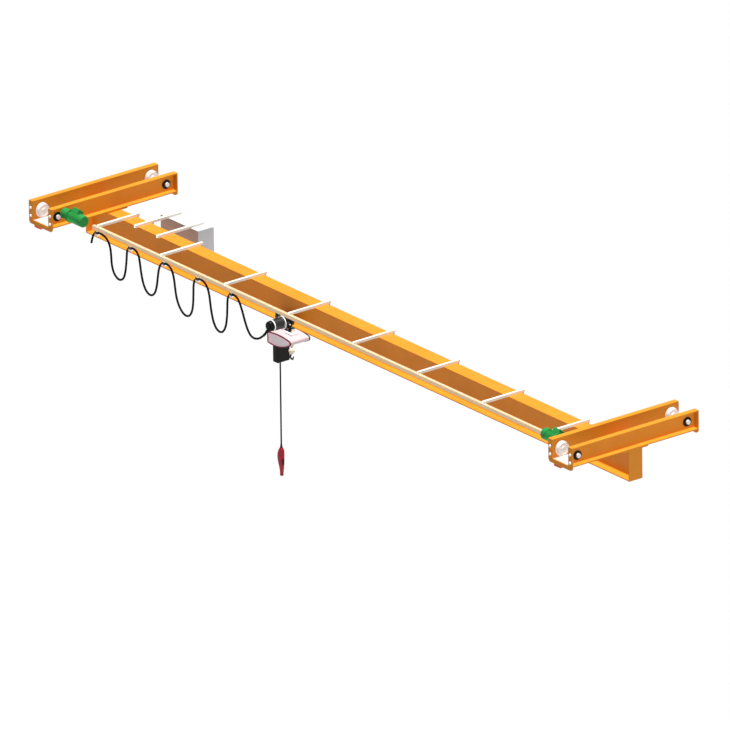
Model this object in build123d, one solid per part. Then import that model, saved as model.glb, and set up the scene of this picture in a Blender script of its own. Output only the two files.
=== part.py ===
from build123d import *
from math import radians, tan

# Underslung single-girder bridge crane with an electric chain hoist.
# X runs along the girder, Y along the two runways and Z points up.
# The origin is on the left runway's centre line, midway between its wheels,
# at the height of the wheel treads. All lengths are in millimetres.

# Bridge layout
span = 7850.0
wheelbase = 1300.0
wheel_inset = 100.0
carriage_width = 356.0

# Running clearances shared by several pieces
seat_gap = 0.3
running_gap = 0.05
cut_over = 2.0

# Carriage channels, webs inboard and flanges pointing outward
channel_height = 190.0
channel_flange = 60.0
channel_web = 8.0
channel_flange_thick = 11.0
channel_root = 8.0
channel_below_axle = 86.0

# Carriage end plates, cut as an open U that the runway beam passes through
end_plate_thick = 12.0
end_plate_drop = 40.0
end_plate_bar = 42.0
end_plate_corner = 35.0
end_plate_throat = 12.0

# Rubber pads under the end plates
pad_width = 96.0
pad_depth = 40.0
pad_height = 20.0
pad_offset = 48.0

# Carriage wheels and axles
wheel_tread_dia = 125.0
wheel_flange_dia = 146.0
wheel_tread_width = 30.0
wheel_flange_width = 8.0
wheel_hub_dia = 62.0
wheel_hub_length = 6.0
wheel_face_recess = 4.0
wheel_rim = 12.0
axle_dia = 32.0
axle_collar_dia = 46.0
axle_collar_length = 4.0
axle_cap_thick = 5.0
axle_nut_dia = 44.0
axle_nut_length = 16.0
axle_cover_dia = 92.0
axle_cover_length = 12.0
axle_cover_bevel = 3.0

# Main girder, a rolled I-section with closed ends
girder_height = 300.0
girder_flange = 155.0
girder_web = 7.5
girder_flange_thick = 11.0
girder_root = 15.0
girder_end_thick = 12.0

# Head plates that join the girder to the carriages
head_plate_thick = 12.0
head_plate_length = 296.0

# Arms on the top flange and the C-rail under their front ends
arm_count = 8
arm_first = 398.0
arm_pitch = 971.0
arm_size = 25.0
arm_wall = 3.0
arm_behind = 114.0
arm_front_over = 1.0
rail_width = 32.0
rail_height = 36.0
rail_wall = 3.0
rail_slot = 14.0
rail_centre_y = -365.0
rail_left_over = 82.0
rail_right_over = 30.0
panel_arm_reach = 437.0
panel_arm_front = 115.0
panel_arm_pitch = 340.0

# Clamps that grip the flange edges under the arms
clamp_length = 30.0
clamp_width = 24.0
clamp_lip = 14.0
clamp_lip_thick = 9.0

# Control panel behind the girder
panel_width = 575.0
panel_height = 400.0
panel_depth = 200.0
panel_centre_x = 795.0
panel_front_y = 284.0
panel_edge = 4.0
panel_door_thick = 18.0
panel_door_margin = 12.0
panel_latch_dia = 26.0
panel_latch_height = 8.0

# Travel motors on the inboard sides of the carriages
travel_motor_inset = 75.0
travel_motor_above_axle = 23.5
travel_neck_dia = 60.0
travel_neck_length = 18.0
travel_gear_dia = 104.0
travel_gear_length = 92.0
travel_flange_dia = 130.0
travel_flange_thick = 10.0
travel_barrel_dia = 104.0
travel_barrel_length = 143.0
travel_rib_count = 24
travel_rib_height = 6.0
travel_rib_thick = 4.0
travel_fan_dia = 116.0
travel_fan_length = 62.0
travel_fan_round = 14.0
travel_box_length = 92.0
travel_box_width = 74.0
travel_box_height = 34.0
travel_box_round = 6.0
travel_box_lean = 40.0
travel_nut_size = 24.0
travel_nut_length = 5.0
travel_nut_sides = 6

# Festoon carriers under the C-rail
carrier_first = 375.0
carrier_pitch = 513.0
carrier_count = 5
carrier_roller_dia = 20.0
carrier_roller_width = 6.0
carrier_roller_spread = 40.0
carrier_stem_thick = 6.0
carrier_stem_width = 52.0
carrier_block_length = 46.0
carrier_block_width = 32.0
carrier_block_height = 30.0
carrier_block_round = 4.0

# Festoon cable, one length through every carrier to the trolley motor
cable_dia = 21.0
cable_top_z = -94.0
bend_share = 0.45

# Hoist trolley on the girder's bottom flange
trolley_x = 2862.0
trolley_plate_width = 236.0
trolley_plate_thick = 8.0
trolley_plate_gap = 14.0
trolley_plate_drop = 50.0
trolley_plate_rise = 88.0
trolley_plate_round = 22.0
trolley_wheel_dia = 60.0
trolley_wheel_width = 24.0
trolley_wheel_rim_dia = 72.0
trolley_wheel_rim_width = 5.0
trolley_wheelbase = 176.0
trolley_edge_gap = 1.5
trolley_axle_dia = 18.0
trolley_axle_head = 26.0
trolley_axle_head_length = 8.0
trolley_axle_cap = 4.0
trolley_pin_dia = 22.0
trolley_pin_spread = 150.0
trolley_pin_drop = 30.0
trolley_bar_dia = 30.0

# Trolley motor, its axis along Y
trolley_motor_above = 20.0
trolley_ring_dia = 132.0
trolley_ring_thick = 10.0
trolley_barrel_dia = 108.0
trolley_barrel_length = 106.0
trolley_rib_count = 20
trolley_rib_height = 5.0
trolley_rib_thick = 4.0
trolley_end_ring_dia = 106.0
trolley_end_ring_thick = 12.0
trolley_fan_dia = 100.0
trolley_fan_length = 47.0
trolley_fan_round = 26.0
gland_dia = 31.0
gland_length = 34.0

# Hoist housing, a prism across the girder with a flat left side and a round nose
hoist_left = 2642.0
hoist_side = 107.0
hoist_crown_length = 330.0
hoist_crown_rise = 17.0
hoist_crown_fall = 1.0
hoist_nose = 27.0
hoist_nose_turn = 138.0
hoist_top_below_girder = 134.0
hoist_front_y = -120.0
hoist_depth = 242.0
hoist_corner = 12.0
hoist_rim_width = 9.0
hoist_rim_thick = 12.0
hoist_panel_thick = 7.0
hoist_cover_margin = 4.0
hoist_rear_thick = 12.0
hoist_edge = 3.0
lug_width = 60.0
lug_thick = 40.0
lug_base = 96.0
lug_base_rise = 10.0
guide_dia = 40.0
guide_mouth_dia = 30.0
guide_height = 13.0
guide_root = 27.0

# Chain container beside the load chain
container_x = 2711.0
container_y = -7.0
container_width = 78.0
container_depth = 152.0
container_height = 195.5
container_corner = 14.0
container_round = 11.0

# Load chain, swivelling hook block and hook
chain_dia = 12.0
chain_stub = 14.0
block_top_dia = 34.0
block_dia = 58.0
block_foot_dia = 36.0
block_height = 50.0
block_shoulder_share = 0.3
block_waist_share = 0.62
block_round = 5.0
block_bore_depth = 14.0
shank_dia = 16.0
shank_length = 5.0
shank_nut_dia = 24.0
shank_nut_length = 8.0
shank_room = 1.0
hook_radius = 22.0
hook_thick = 17.0

# The hook's sections: turn from the shank, then reach, height and width
hook_shares = [
    (0, 1.0, 0.85, 0.85),
    (45, 1.0, 0.9, 0.85),
    (90, 1.0, 1.0, 0.85),
    (135, 1.0, 1.1, 0.85),
    (180, 1.0, 1.12, 0.85),
    (225, 1.0, 1.0, 0.8),
    (265, 1.02, 0.8, 0.72),
    (300, 1.3, 0.45, 0.5),
]

# Control pendant on its cable
pendant_x = 2659.0
pendant_y = 19.0
pendant_cable_dia = 15.0
pendant_cable_length = 1082.0
pendant_gland_dia = 23.0
pendant_gland_height = 14.0
pendant_width = 70.0
pendant_depth = 50.0
pendant_corner_share = 0.29
pendant_length = 278.0
pendant_recess_depth = 5.0
pendant_recess_width = 30.0
pendant_recess_start_share = 0.36
pendant_recess_end_share = 0.61
pendant_plate_thick = 2.0
pendant_button_dia = 14.0
pendant_button_height = 4.0
pendant_button_pitch = 21.0
pendant_buttons = 3
pendant_cap_length = 9.0

# The pendant's sections: depth below its top, then offset, width and depth
pendant_shares = [
    (0, 0, 0.44, 0.56),
    (0.2, -0.08, 0.98, 1.0),
    (0.4, -0.11, 1.0, 1.0),
    (0.6, -0.02, 0.77, 0.88),
    (0.8, 0.04, 0.52, 0.66),
    (1, 0.02, 0.46, 0.58),
]

# Heights of the pieces, from the treads up
carriage_length = wheelbase + 2 * wheel_inset
travel_motor_y = travel_motor_inset - wheelbase / 2
axle_z = wheel_tread_dia / 2
channel_bottom = axle_z - channel_below_axle
channel_top = channel_bottom + channel_height
girder_top = channel_bottom - head_plate_thick
girder_bottom = girder_top - girder_height
flange_upper = girder_bottom + girder_flange_thick
half_carriage = carriage_width / 2
web_inner = half_carriage - channel_flange
web_outer = web_inner + channel_web
girder_half = girder_flange / 2
motor_z = axle_z + travel_motor_above_axle
rail_top = girder_top
rail_bottom = rail_top - rail_height
trolley_wheel_z = flange_upper + seat_gap + trolley_wheel_dia / 2
trolley_motor_z = girder_bottom + trolley_motor_above
plate_inner_y = girder_half + trolley_plate_gap
plate_outer_y = plate_inner_y + trolley_plate_thick
hoist_top = girder_bottom - hoist_top_below_girder
hoist_bottom = hoist_top - hoist_side
hoist_rear_y = hoist_front_y + hoist_depth
ring_y = -plate_outer_y - trolley_axle_head_length
barrel_y = ring_y - trolley_ring_thick
end_ring_y = barrel_y - trolley_barrel_length
cap_y = end_ring_y - trolley_end_ring_thick
load_bar_z = girder_bottom - trolley_pin_drop
guide_bottom = hoist_bottom - guide_height
block_top = guide_bottom - chain_stub

# Festoon route as hand-chosen points, from the free tail to the motor gland
cable_route = [
    (280, rail_centre_y, -228),
    (296, rail_centre_y, -165),
    (330, rail_centre_y, -113),
    (378, rail_centre_y, -92),
    (440, rail_centre_y, -93),
    (520, rail_centre_y, -110),
    (570, rail_centre_y, -180),
    (583, rail_centre_y, -270),
    (588, rail_centre_y, -360),
    (622, rail_centre_y, -440),
    (695, rail_centre_y, -482),
    (764, rail_centre_y, -452),
    (796, rail_centre_y, -380),
    (812, rail_centre_y, -290),
    (822, rail_centre_y, -205),
    (829, rail_centre_y, -132),
    (868, rail_centre_y, -95),
    (945, rail_centre_y, -91),
    (1004, rail_centre_y, -127),
    (1024, rail_centre_y, -210),
    (1042, rail_centre_y, -310),
    (1070, rail_centre_y, -405),
    (1122, rail_centre_y, -475),
    (1195, rail_centre_y, -490),
    (1254, rail_centre_y, -440),
    (1283, rail_centre_y, -350),
    (1297, rail_centre_y, -258),
    (1316, rail_centre_y, -174),
    (1343, rail_centre_y, -120),
    (1388, rail_centre_y, -95),
    (1457, rail_centre_y, -91),
    (1515, rail_centre_y, -130),
    (1545, rail_centre_y, -205),
    (1560, rail_centre_y, -302),
    (1582, rail_centre_y, -405),
    (1632, rail_centre_y, -485),
    (1702, rail_centre_y, -532),
    (1775, rail_centre_y, -520),
    (1820, rail_centre_y, -450),
    (1836, rail_centre_y, -355),
    (1840, rail_centre_y, -265),
    (1842, rail_centre_y, -190),
    (1856, rail_centre_y, -132),
    (1897, rail_centre_y, -95),
    (1970, rail_centre_y, -89),
    (2040, rail_centre_y, -117),
    (2080, rail_centre_y, -190),
    (2096, rail_centre_y, -290),
    (2115, rail_centre_y, -388),
    (2148, rail_centre_y, -480),
    (2208, rail_centre_y, -538),
    (2282, rail_centre_y, -528),
    (2330, rail_centre_y, -455),
    (2349, rail_centre_y, -360),
    (2356, rail_centre_y, -265),
    (2359, rail_centre_y, -185),
    (2372, rail_centre_y, -130),
    (2413, rail_centre_y, -96),
    (2480, rail_centre_y, -98),
    (2540, rail_centre_y, -140),
    (2583, rail_centre_y, -215),
    (2618, rail_centre_y, -300),
    (2660, rail_centre_y, -382),
    (2716, rail_centre_y, -438),
    (2775, -350, -448),
    (2828, -322, -420),
    (2852, -292, -372),
]


def save(node, shape):
    """Write one sub-part to its STEP file."""
    export_step(shape, f"parts/{node}.step")


def together(shapes):
    """Solids of one node that don't touch each other."""
    return Compound(children=list(shapes))


def along_x(radius, length, x, y, z):
    """Cylinder along +X that starts at x."""
    return Plane(origin=(x, y, z), z_dir=(1, 0, 0)) * Cylinder(
        radius, length, align=(Align.CENTER, Align.CENTER, Align.MIN)
    )


def along_y(radius, length, x, y, z):
    """Cylinder along +Y that starts at y."""
    return Plane(origin=(x, y, z), z_dir=(0, 1, 0)) * Cylinder(
        radius, length, align=(Align.CENTER, Align.CENTER, Align.MIN)
    )


def upright(radius, length, x, y, z):
    """Cylinder along +Z that starts at z."""
    return Pos(x, y, z) * Cylinder(
        radius, length, align=(Align.CENTER, Align.CENTER, Align.MIN)
    )


def block(x0, x1, y0, y1, z0, z1):
    """Box between two corners."""
    return Pos((x0 + x1) / 2, (y0 + y1) / 2, (z0 + z1) / 2) * Box(
        x1 - x0, y1 - y0, z1 - z0
    )


def i_section(width, height, web, flange, root):
    """I-shaped profile about its centre."""
    side = (width - web) / 2
    inner = height - 2 * flange
    outline = Rectangle(width, height)
    for hand in (-1, 1):
        pocket = Pos(hand * (web / 2 + side / 2), 0) * Rectangle(side, inner)
        outline -= pocket
    corners = [v for v in outline.vertices() if abs(abs(v.X) - web / 2) < web / 4]
    return fillet(corners, root)


def channel_section(flange, height, web, thick, root):
    """C-shaped profile, its web's back on x = 0 and its flanges towards +x."""
    outline = Pos(flange / 2, 0) * Rectangle(flange, height)
    pocket = Pos(web + (flange - web) / 2, 0) * Rectangle(
        flange - web, height - 2 * thick
    )
    outline -= pocket
    corners = [v for v in outline.vertices() if abs(v.X - web) < web / 4]
    return fillet(corners, root)


def make_girder():
    """I-section between the two end plates."""
    x0 = -half_carriage + girder_end_thick
    length = span + carriage_width - 2 * girder_end_thick
    profile = i_section(
        girder_flange, girder_height, girder_web, girder_flange_thick, girder_root
    )
    middle = (girder_top + girder_bottom) / 2
    plane = Plane(origin=(x0, 0, middle), x_dir=(0, 1, 0), z_dir=(1, 0, 0))
    return extrude(plane * profile, length)


def make_girder_ends():
    """Flange-wide plates that close both ends of the girder."""
    left = -half_carriage
    right = span + half_carriage
    plates = []
    for x0 in (left, right - girder_end_thick):
        plates.append(
            block(
                x0,
                x0 + girder_end_thick,
                -girder_half,
                girder_half,
                girder_bottom,
                girder_top,
            )
        )
    return together(plates)


def make_head_plate(centre):
    """Plate between the girder's top flange and the channels."""
    return block(
        centre - half_carriage,
        centre + half_carriage,
        -head_plate_length / 2,
        head_plate_length / 2,
        girder_top,
        channel_bottom,
    )


def axle_spots():
    """Y places of the axles on one channel."""
    return (-wheelbase / 2, wheelbase / 2)


def make_channel(centre, hand):
    """Carriage channel on one side of a runway, bored for its axles."""
    profile = channel_section(
        channel_flange, channel_height, channel_web, channel_flange_thick, channel_root
    )
    middle = (channel_top + channel_bottom) / 2
    length = carriage_length - 2 * end_plate_thick
    plane = Plane(
        origin=(centre + hand * web_inner, 0, middle),
        x_dir=(hand, 0, 0),
        z_dir=(0, -hand, 0),
    )
    beam = extrude(plane * profile, length / 2, both=True)
    for y in axle_spots():
        x0 = centre + hand * web_inner - cut_over
        start = min(x0, centre + hand * web_outer - cut_over)
        bore = along_x(
            axle_dia / 2, channel_web + 2 * cut_over, start, y, axle_z
        )
        beam -= bore
    return beam


def make_end_plate(centre, end):
    """U-shaped plate across the two channels, open at the top for the runway beam."""
    bottom = channel_bottom - end_plate_drop
    throat_bottom = bottom + end_plate_bar
    outline = Pos(0, (channel_top + bottom) / 2) * Rectangle(
        carriage_width, channel_top - bottom
    )
    low = [v for v in outline.vertices() if v.Y < (channel_top + bottom) / 2]
    outline = fillet(low, end_plate_corner)
    throat_top = channel_top + cut_over
    throat = Pos(0, (throat_top + throat_bottom) / 2) * Rectangle(
        2 * web_inner, throat_top - throat_bottom
    )
    outline -= throat
    inner = [
        v
        for v in outline.vertices()
        if abs(v.Y - throat_bottom) < cut_over and abs(v.X) < web_inner + cut_over
    ]
    outline = fillet(inner, end_plate_throat)
    y0 = end * (carriage_length / 2 - end_plate_thick)
    plane = Plane(origin=(centre, y0, 0), x_dir=(1, 0, 0), z_dir=(0, -1, 0))
    return extrude(plane * outline, -end * end_plate_thick)


def make_pads():
    """Rubber pad under each end plate, left of the runway's centre line."""
    top = channel_bottom - end_plate_drop
    pads = []
    for centre in (0, span):
        for end in (-1, 1):
            face = end * carriage_length / 2
            y0, y1 = sorted((face, face - end * pad_depth))
            pads.append(
                block(
                    centre - pad_offset - pad_width / 2,
                    centre - pad_offset + pad_width / 2,
                    y0,
                    y1,
                    top - pad_height,
                    top,
                )
            )
    return together(pads)


def make_wheel(centre, hand, y):
    """Flanged runway wheel, its flange next to the channel web."""
    outer = wheel_flange_dia / 2
    tread = wheel_tread_dia / 2
    bore = axle_dia / 2 + running_gap
    width = wheel_flange_width + wheel_tread_width
    recess = wheel_tread_width - wheel_face_recess
    profile = Polyline(
        (bore, -wheel_hub_length),
        (wheel_hub_dia / 2, -wheel_hub_length),
        (wheel_hub_dia / 2, 0),
        (outer, 0),
        (outer, wheel_flange_width),
        (tread, wheel_flange_width),
        (tread, width),
        (tread - wheel_rim, width),
        (tread - wheel_rim, width - wheel_face_recess),
        (wheel_hub_dia / 2 - axle_collar_length, width - wheel_face_recess),
        (wheel_hub_dia / 2 - axle_collar_length, width),
        (bore, width),
        close=True,
    )
    section = make_face(profile)
    start = wheel_hub_length + axle_collar_length
    plane = Plane(
        origin=(centre + hand * (web_inner - start), y, axle_z),
        x_dir=(0, 0, 1),
        z_dir=(0, -hand, 0),
    )
    return revolve(plane * section, Axis((centre, y, axle_z), (1, 0, 0)))


def make_axle(centre, hand, y):
    """Axle through the web with its collar, end cap and nut."""
    start = wheel_hub_length + axle_collar_length
    inner_end = web_inner - start - wheel_flange_width - wheel_tread_width - seat_gap
    cap_start = inner_end - axle_cap_thick
    nut_end = web_outer + axle_cover_length + axle_nut_length
    pieces = [
        (axle_dia, cap_start, nut_end),
        (axle_collar_dia, web_inner - axle_collar_length + seat_gap, web_inner),
        (axle_collar_dia, cap_start, inner_end),
        (axle_nut_dia, web_outer + axle_cover_length, nut_end),
    ]
    axle = None
    for dia, near, far in pieces:
        x0 = centre + min(hand * near, hand * far)
        stretch = along_x(dia / 2, far - near, x0, y, axle_z)
        axle = stretch if axle is None else axle + stretch
    return axle


def make_axle_cover(centre, hand, y):
    """Round cover on the outside of the web, bevelled at its rim."""
    x0 = centre + min(hand * web_outer, hand * (web_outer + axle_cover_length))
    disc = along_x(axle_cover_dia / 2, axle_cover_length, x0, y, axle_z)
    face_x = centre + hand * (web_outer + axle_cover_length)
    rim = [e for e in disc.edges() if abs(e.center().X - face_x) < seat_gap]
    disc = chamfer(rim, axle_cover_bevel)
    bore = along_x(
        axle_dia / 2, axle_cover_length + 2 * cut_over, x0 - cut_over, y, axle_z
    )
    return disc - bore


def each_axle():
    """Every axle's runway centre, channel side and Y place."""
    for centre in (0, span):
        for hand in (-1, 1):
            for y in axle_spots():
                yield centre, hand, y


def make_travel_motor(centre, hand):
    """Geared travel motor on the inboard side of a carriage."""
    base = web_outer
    stages = [
        (travel_neck_dia, travel_neck_length),
        (travel_gear_dia, travel_gear_length),
        (travel_flange_dia, travel_flange_thick),
        (travel_barrel_dia, travel_barrel_length),
        (travel_fan_dia, travel_fan_length),
    ]
    motor = None
    place = base
    for dia, length in stages:
        x0 = centre + min(hand * place, hand * (place + length))
        stage = along_x(dia / 2, length, x0, travel_motor_y, motor_z)
        if dia == travel_fan_dia:
            face_x = centre + hand * (place + length)
            rim = [e for e in stage.edges() if abs(e.center().X - face_x) < seat_gap]
            stage = fillet(rim, travel_fan_round)
        motor = stage if motor is None else motor + stage
        place += length
    gear_end = base + travel_neck_length + travel_gear_length
    barrel_start = gear_end + travel_flange_thick
    middle = centre + hand * (barrel_start + travel_barrel_length / 2)
    rib_span = travel_barrel_dia + 2 * travel_rib_height
    rib = Box(travel_barrel_length, travel_rib_thick, rib_span)
    for k in range(travel_rib_count // 2):
        turn = 360 * k / travel_rib_count
        motor += Pos(middle, travel_motor_y, motor_z) * Rot(turn, 0, 0) * rib
    box_rise = travel_barrel_dia / 2 + travel_box_height
    terminal = Box(
        travel_box_length,
        travel_box_width,
        box_rise,
        align=(Align.CENTER, Align.CENTER, Align.MIN),
    )
    top = terminal.edges().filter_by(Axis.Z) + terminal.faces().sort_by(Axis.Z)[-1].edges()
    terminal = fillet(top, travel_box_round)
    motor += (
        Pos(middle - hand * travel_box_lean / 2, travel_motor_y, motor_z)
        * Rot(-travel_box_lean, 0, 0)
        * terminal
    )
    nut_plane = Plane(
        origin=(centre + hand * place, travel_motor_y, motor_z), z_dir=(hand, 0, 0)
    )
    motor += nut_plane * extrude(
        RegularPolygon(travel_nut_size / 2, travel_nut_sides), travel_nut_length
    )
    return motor


def make_square_tube(x, y0, y1):
    """Square tube along Y that lies on the top flange's level."""
    outer = Rectangle(arm_size, arm_size)
    inner = Rectangle(arm_size - 2 * arm_wall, arm_size - 2 * arm_wall)
    plane = Plane(
        origin=(x, y0, girder_top + arm_size / 2), x_dir=(1, 0, 0), z_dir=(0, -1, 0)
    )
    return extrude(plane * (outer - inner), y0 - y1)


def arm_places():
    """X places of the arms that carry the C-rail."""
    return [arm_first + k * arm_pitch for k in range(arm_count)]


def panel_arm_places():
    """X places of the two arms that carry the control panel."""
    return [panel_centre_x + hand * panel_arm_pitch / 2 for hand in (-1, 1)]


def make_arms():
    """Square tubes on the top flange, eight for the C-rail and two for the panel."""
    front = rail_centre_y - rail_width / 2 - arm_front_over
    arms = [make_square_tube(x, front, arm_behind) for x in arm_places()]
    for x in panel_arm_places():
        arms.append(make_square_tube(x, -panel_arm_front, panel_arm_reach))
    return together(arms)


def make_clamp(x, side):
    """Hooked clamp from an arm round one edge of the top flange."""
    under = girder_top - girder_flange_thick - seat_gap
    bottom = under - clamp_lip_thick
    near = side * (girder_half + seat_gap)
    far = side * (girder_half + clamp_width)
    inner = side * (girder_half - clamp_lip)
    y0, y1 = sorted((near, far))
    stem = block(
        x - clamp_length / 2, x + clamp_length / 2, y0, y1, bottom, girder_top
    )
    y0, y1 = sorted((inner, far))
    lip = block(x - clamp_length / 2, x + clamp_length / 2, y0, y1, bottom, under)
    return stem + lip


def make_clamps():
    """One clamp at each flange edge under every arm."""
    places = arm_places() + panel_arm_places()
    return together(make_clamp(x, side) for x in places for side in (-1, 1))


def make_cable_rail():
    """C-rail with its slot underneath, hung under the arms' front ends."""
    outer = Rectangle(rail_width, rail_height)
    hollow = Rectangle(rail_width - 2 * rail_wall, rail_height - 2 * rail_wall)
    slot = Pos(0, -rail_height / 2 + rail_wall / 2) * Rectangle(
        rail_slot, rail_wall + cut_over
    )
    x0 = arm_first - rail_left_over
    x1 = arm_places()[-1] + rail_right_over
    plane = Plane(
        origin=(x0, rail_centre_y, rail_top - rail_height / 2),
        x_dir=(0, 1, 0),
        z_dir=(1, 0, 0),
    )
    return extrude(plane * (outer - hollow - slot), x1 - x0)


def make_panel():
    """Control panel with its door on the side away from the girder."""
    x0 = panel_centre_x - panel_width / 2
    x1 = panel_centre_x + panel_width / 2
    y1 = panel_front_y + panel_depth - panel_door_thick
    case = block(x0, x1, panel_front_y, y1, girder_top - panel_height, girder_top)
    case = fillet(case.edges().filter_by(Axis.Z), panel_edge)
    door = block(
        x0 + panel_door_margin,
        x1 - panel_door_margin,
        y1,
        y1 + panel_door_thick,
        girder_top - panel_height + panel_door_margin,
        girder_top - panel_door_margin,
    )
    door = chamfer(door.faces().sort_by(Axis.Y)[-1].edges(), panel_edge)
    latch = along_y(
        panel_latch_dia / 2,
        panel_latch_height,
        x1 - panel_door_margin - panel_latch_dia,
        y1 + panel_door_thick,
        girder_top - panel_height / 2,
    )
    return case + door + latch


def carrier_places():
    """X places of the cable supports, the fixed one first."""
    return [carrier_first + k * carrier_pitch for k in range(carrier_count)]


def cable_radii(route):
    """Bend radius at each inner point, as large as its two runs allow."""
    points = [Vector(*p) for p in route]
    radii = []
    for before, here, after in zip(points, points[1:], points[2:]):
        run = min((here - before).length, (after - here).length)
        turn = (here - before).get_angle(after - here)
        radii.append(bend_share * run / tan(radians(turn / 2)))
    return radii


def make_tube(route, dia):
    """Round tube along straight runs joined by tangent arcs."""
    path = FilletPolyline(*route, radius=cable_radii(route))
    start = Plane(origin=path @ 0, z_dir=path % 0)
    return sweep(start * Circle(dia / 2), path)


def make_loops(cable):
    """The cable cut at every carrier, the free tail with the first loop."""
    cuts = carrier_places()[1:]
    starts = [cable_route[0][0] - cable_dia] + cuts
    ends = cuts + [cable_route[-1][0] + cable_dia]
    bottom = girder_bottom - girder_height
    loops = []
    for x0, x1 in zip(starts, ends):
        slab = block(x0, x1, rail_centre_y - cable_dia, 0, bottom, channel_top)
        loops.append(cable & slab)
    return loops


def print_cable(cable):
    """Print the cable's bends and how its volume compares with its length."""
    radii = cable_radii(cable_route)
    length = FilletPolyline(*cable_route, radius=radii).length
    expected = length * Circle(cable_dia / 2).area
    print("smallest and largest bend radius", round(min(radii)), round(max(radii)))
    print("length", round(length), "volume to section times length", cable.volume / expected)


def make_carrier(x, cable_room):
    """Cable saddle that hangs from two rollers, or from a foot, in the C-rail."""
    stem_bottom = cable_top_z
    stem_top = rail_bottom + rail_wall + carrier_roller_dia / 2
    floor = rail_bottom + rail_wall + seat_gap
    holder = block(
        x - carrier_stem_width / 2,
        x + carrier_stem_width / 2,
        rail_centre_y - carrier_stem_thick / 2,
        rail_centre_y + carrier_stem_thick / 2,
        stem_bottom,
        stem_top,
    )
    wide = rail_width - 2 * rail_wall - 2 * seat_gap
    for side in (-1, 1):
        roller_x = x + side * carrier_roller_spread / 2
        roller_z = floor + carrier_roller_dia / 2
        holder += along_y(
            carrier_roller_dia / 2,
            carrier_roller_width,
            roller_x,
            rail_centre_y - wide / 2,
            roller_z,
        )
        holder += along_y(
            carrier_roller_dia / 2,
            carrier_roller_width,
            roller_x,
            rail_centre_y + wide / 2 - carrier_roller_width,
            roller_z,
        )
        holder += along_y(
            carrier_roller_dia / 4, wide, roller_x, rail_centre_y - wide / 2, roller_z
        )
    body = block(
        x - carrier_block_length / 2,
        x + carrier_block_length / 2,
        rail_centre_y - carrier_block_width / 2,
        rail_centre_y + carrier_block_width / 2,
        cable_top_z - carrier_block_height / 2,
        cable_top_z + carrier_block_height / 2,
    )
    body = fillet(body.edges().filter_by(Axis.Y), carrier_block_round)
    return holder + body - cable_room


def make_trolley_plates():
    """Front and rear side plates with rounded lower corners."""
    top = flange_upper + trolley_plate_rise
    bottom = girder_bottom - trolley_plate_drop
    outline = Rectangle(trolley_plate_width, top - bottom)
    low = [v for v in outline.vertices() if v.Y < 0]
    outline = fillet(low, trolley_plate_round)
    holes = []
    for hand in (-1, 1):
        wheel_x = hand * trolley_wheelbase / 2
        holes.append((wheel_x, trolley_wheel_z, trolley_axle_dia))
        holes.append((hand * trolley_pin_spread / 2, load_bar_z, trolley_pin_dia))
    holes.append((0, load_bar_z, trolley_bar_dia))
    middle = (top + bottom) / 2
    for x, z, dia in holes:
        outline -= Pos(x, z - middle) * Circle(dia / 2)
    plates = []
    for y in (-plate_inner_y, plate_outer_y):
        plane = Plane(
            origin=(trolley_x, y, middle), x_dir=(1, 0, 0), z_dir=(0, -1, 0)
        )
        plates.append(extrude(plane * outline, trolley_plate_thick))
    return together(plates)


def turned(stages, axis_plane):
    """Stepped shaft from its diameters and the stretch that each covers."""
    shaft = None
    for dia, near, far in stages:
        stage = Pos(0, 0, near) * Cylinder(
            dia / 2, far - near, align=(Align.CENTER, Align.CENTER, Align.MIN)
        )
        shaft = stage if shaft is None else shaft + stage
    return axis_plane * shaft


def make_trolley_wheel(hand, side):
    """Wheel with a rim beside the flange's edge, turning on its axle."""
    x = trolley_x + hand * trolley_wheelbase / 2
    rim_start = girder_half + trolley_edge_gap
    rim_end = rim_start + trolley_wheel_rim_width
    plane = Plane(origin=(x, 0, trolley_wheel_z), z_dir=(0, side, 0))
    wheel = turned(
        [
            (trolley_wheel_dia, rim_start - trolley_wheel_width, rim_start),
            (trolley_wheel_rim_dia, rim_start, rim_end),
        ],
        plane,
    )
    bore = turned(
        [
            (
                trolley_axle_dia + 2 * running_gap,
                rim_start - trolley_wheel_width - cut_over,
                rim_end + cut_over,
            )
        ],
        plane,
    )
    return wheel - bore


def make_trolley_axles():
    """Axles through the side plates, headed outside and capped inside."""
    rim_start = girder_half + trolley_edge_gap
    inner = rim_start - trolley_wheel_width - seat_gap
    collar = rim_start + trolley_wheel_rim_width + seat_gap
    axles = []
    for hand in (-1, 1):
        x = trolley_x + hand * trolley_wheelbase / 2
        for side in (-1, 1):
            stages = [
                (trolley_axle_head, inner - trolley_axle_cap, inner),
                (trolley_axle_dia, inner, plate_outer_y),
                (trolley_axle_head, collar, plate_inner_y),
                (
                    trolley_axle_head,
                    plate_outer_y,
                    plate_outer_y + trolley_axle_head_length,
                ),
            ]
            plane = Plane(origin=(x, 0, trolley_wheel_z), z_dir=(0, side, 0))
            axles.append(turned(stages, plane))
    return together(axles)


def make_trolley_pins():
    """Two spacer pins and the load bar between the side plates."""
    length = 2 * plate_outer_y
    pins = []
    for hand in (-1, 1):
        pins.append(
            along_y(
                trolley_pin_dia / 2,
                length,
                trolley_x + hand * trolley_pin_spread / 2,
                -plate_outer_y,
                load_bar_z,
            )
        )
    pins.append(
        along_y(trolley_bar_dia / 2, length, trolley_x, -plate_outer_y, load_bar_z)
    )
    return together(pins)


def motor_disc(dia, y, thick):
    """Disc on the trolley motor's axis that starts at y."""
    return along_y(dia / 2, thick, trolley_x, y, trolley_motor_z)


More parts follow.
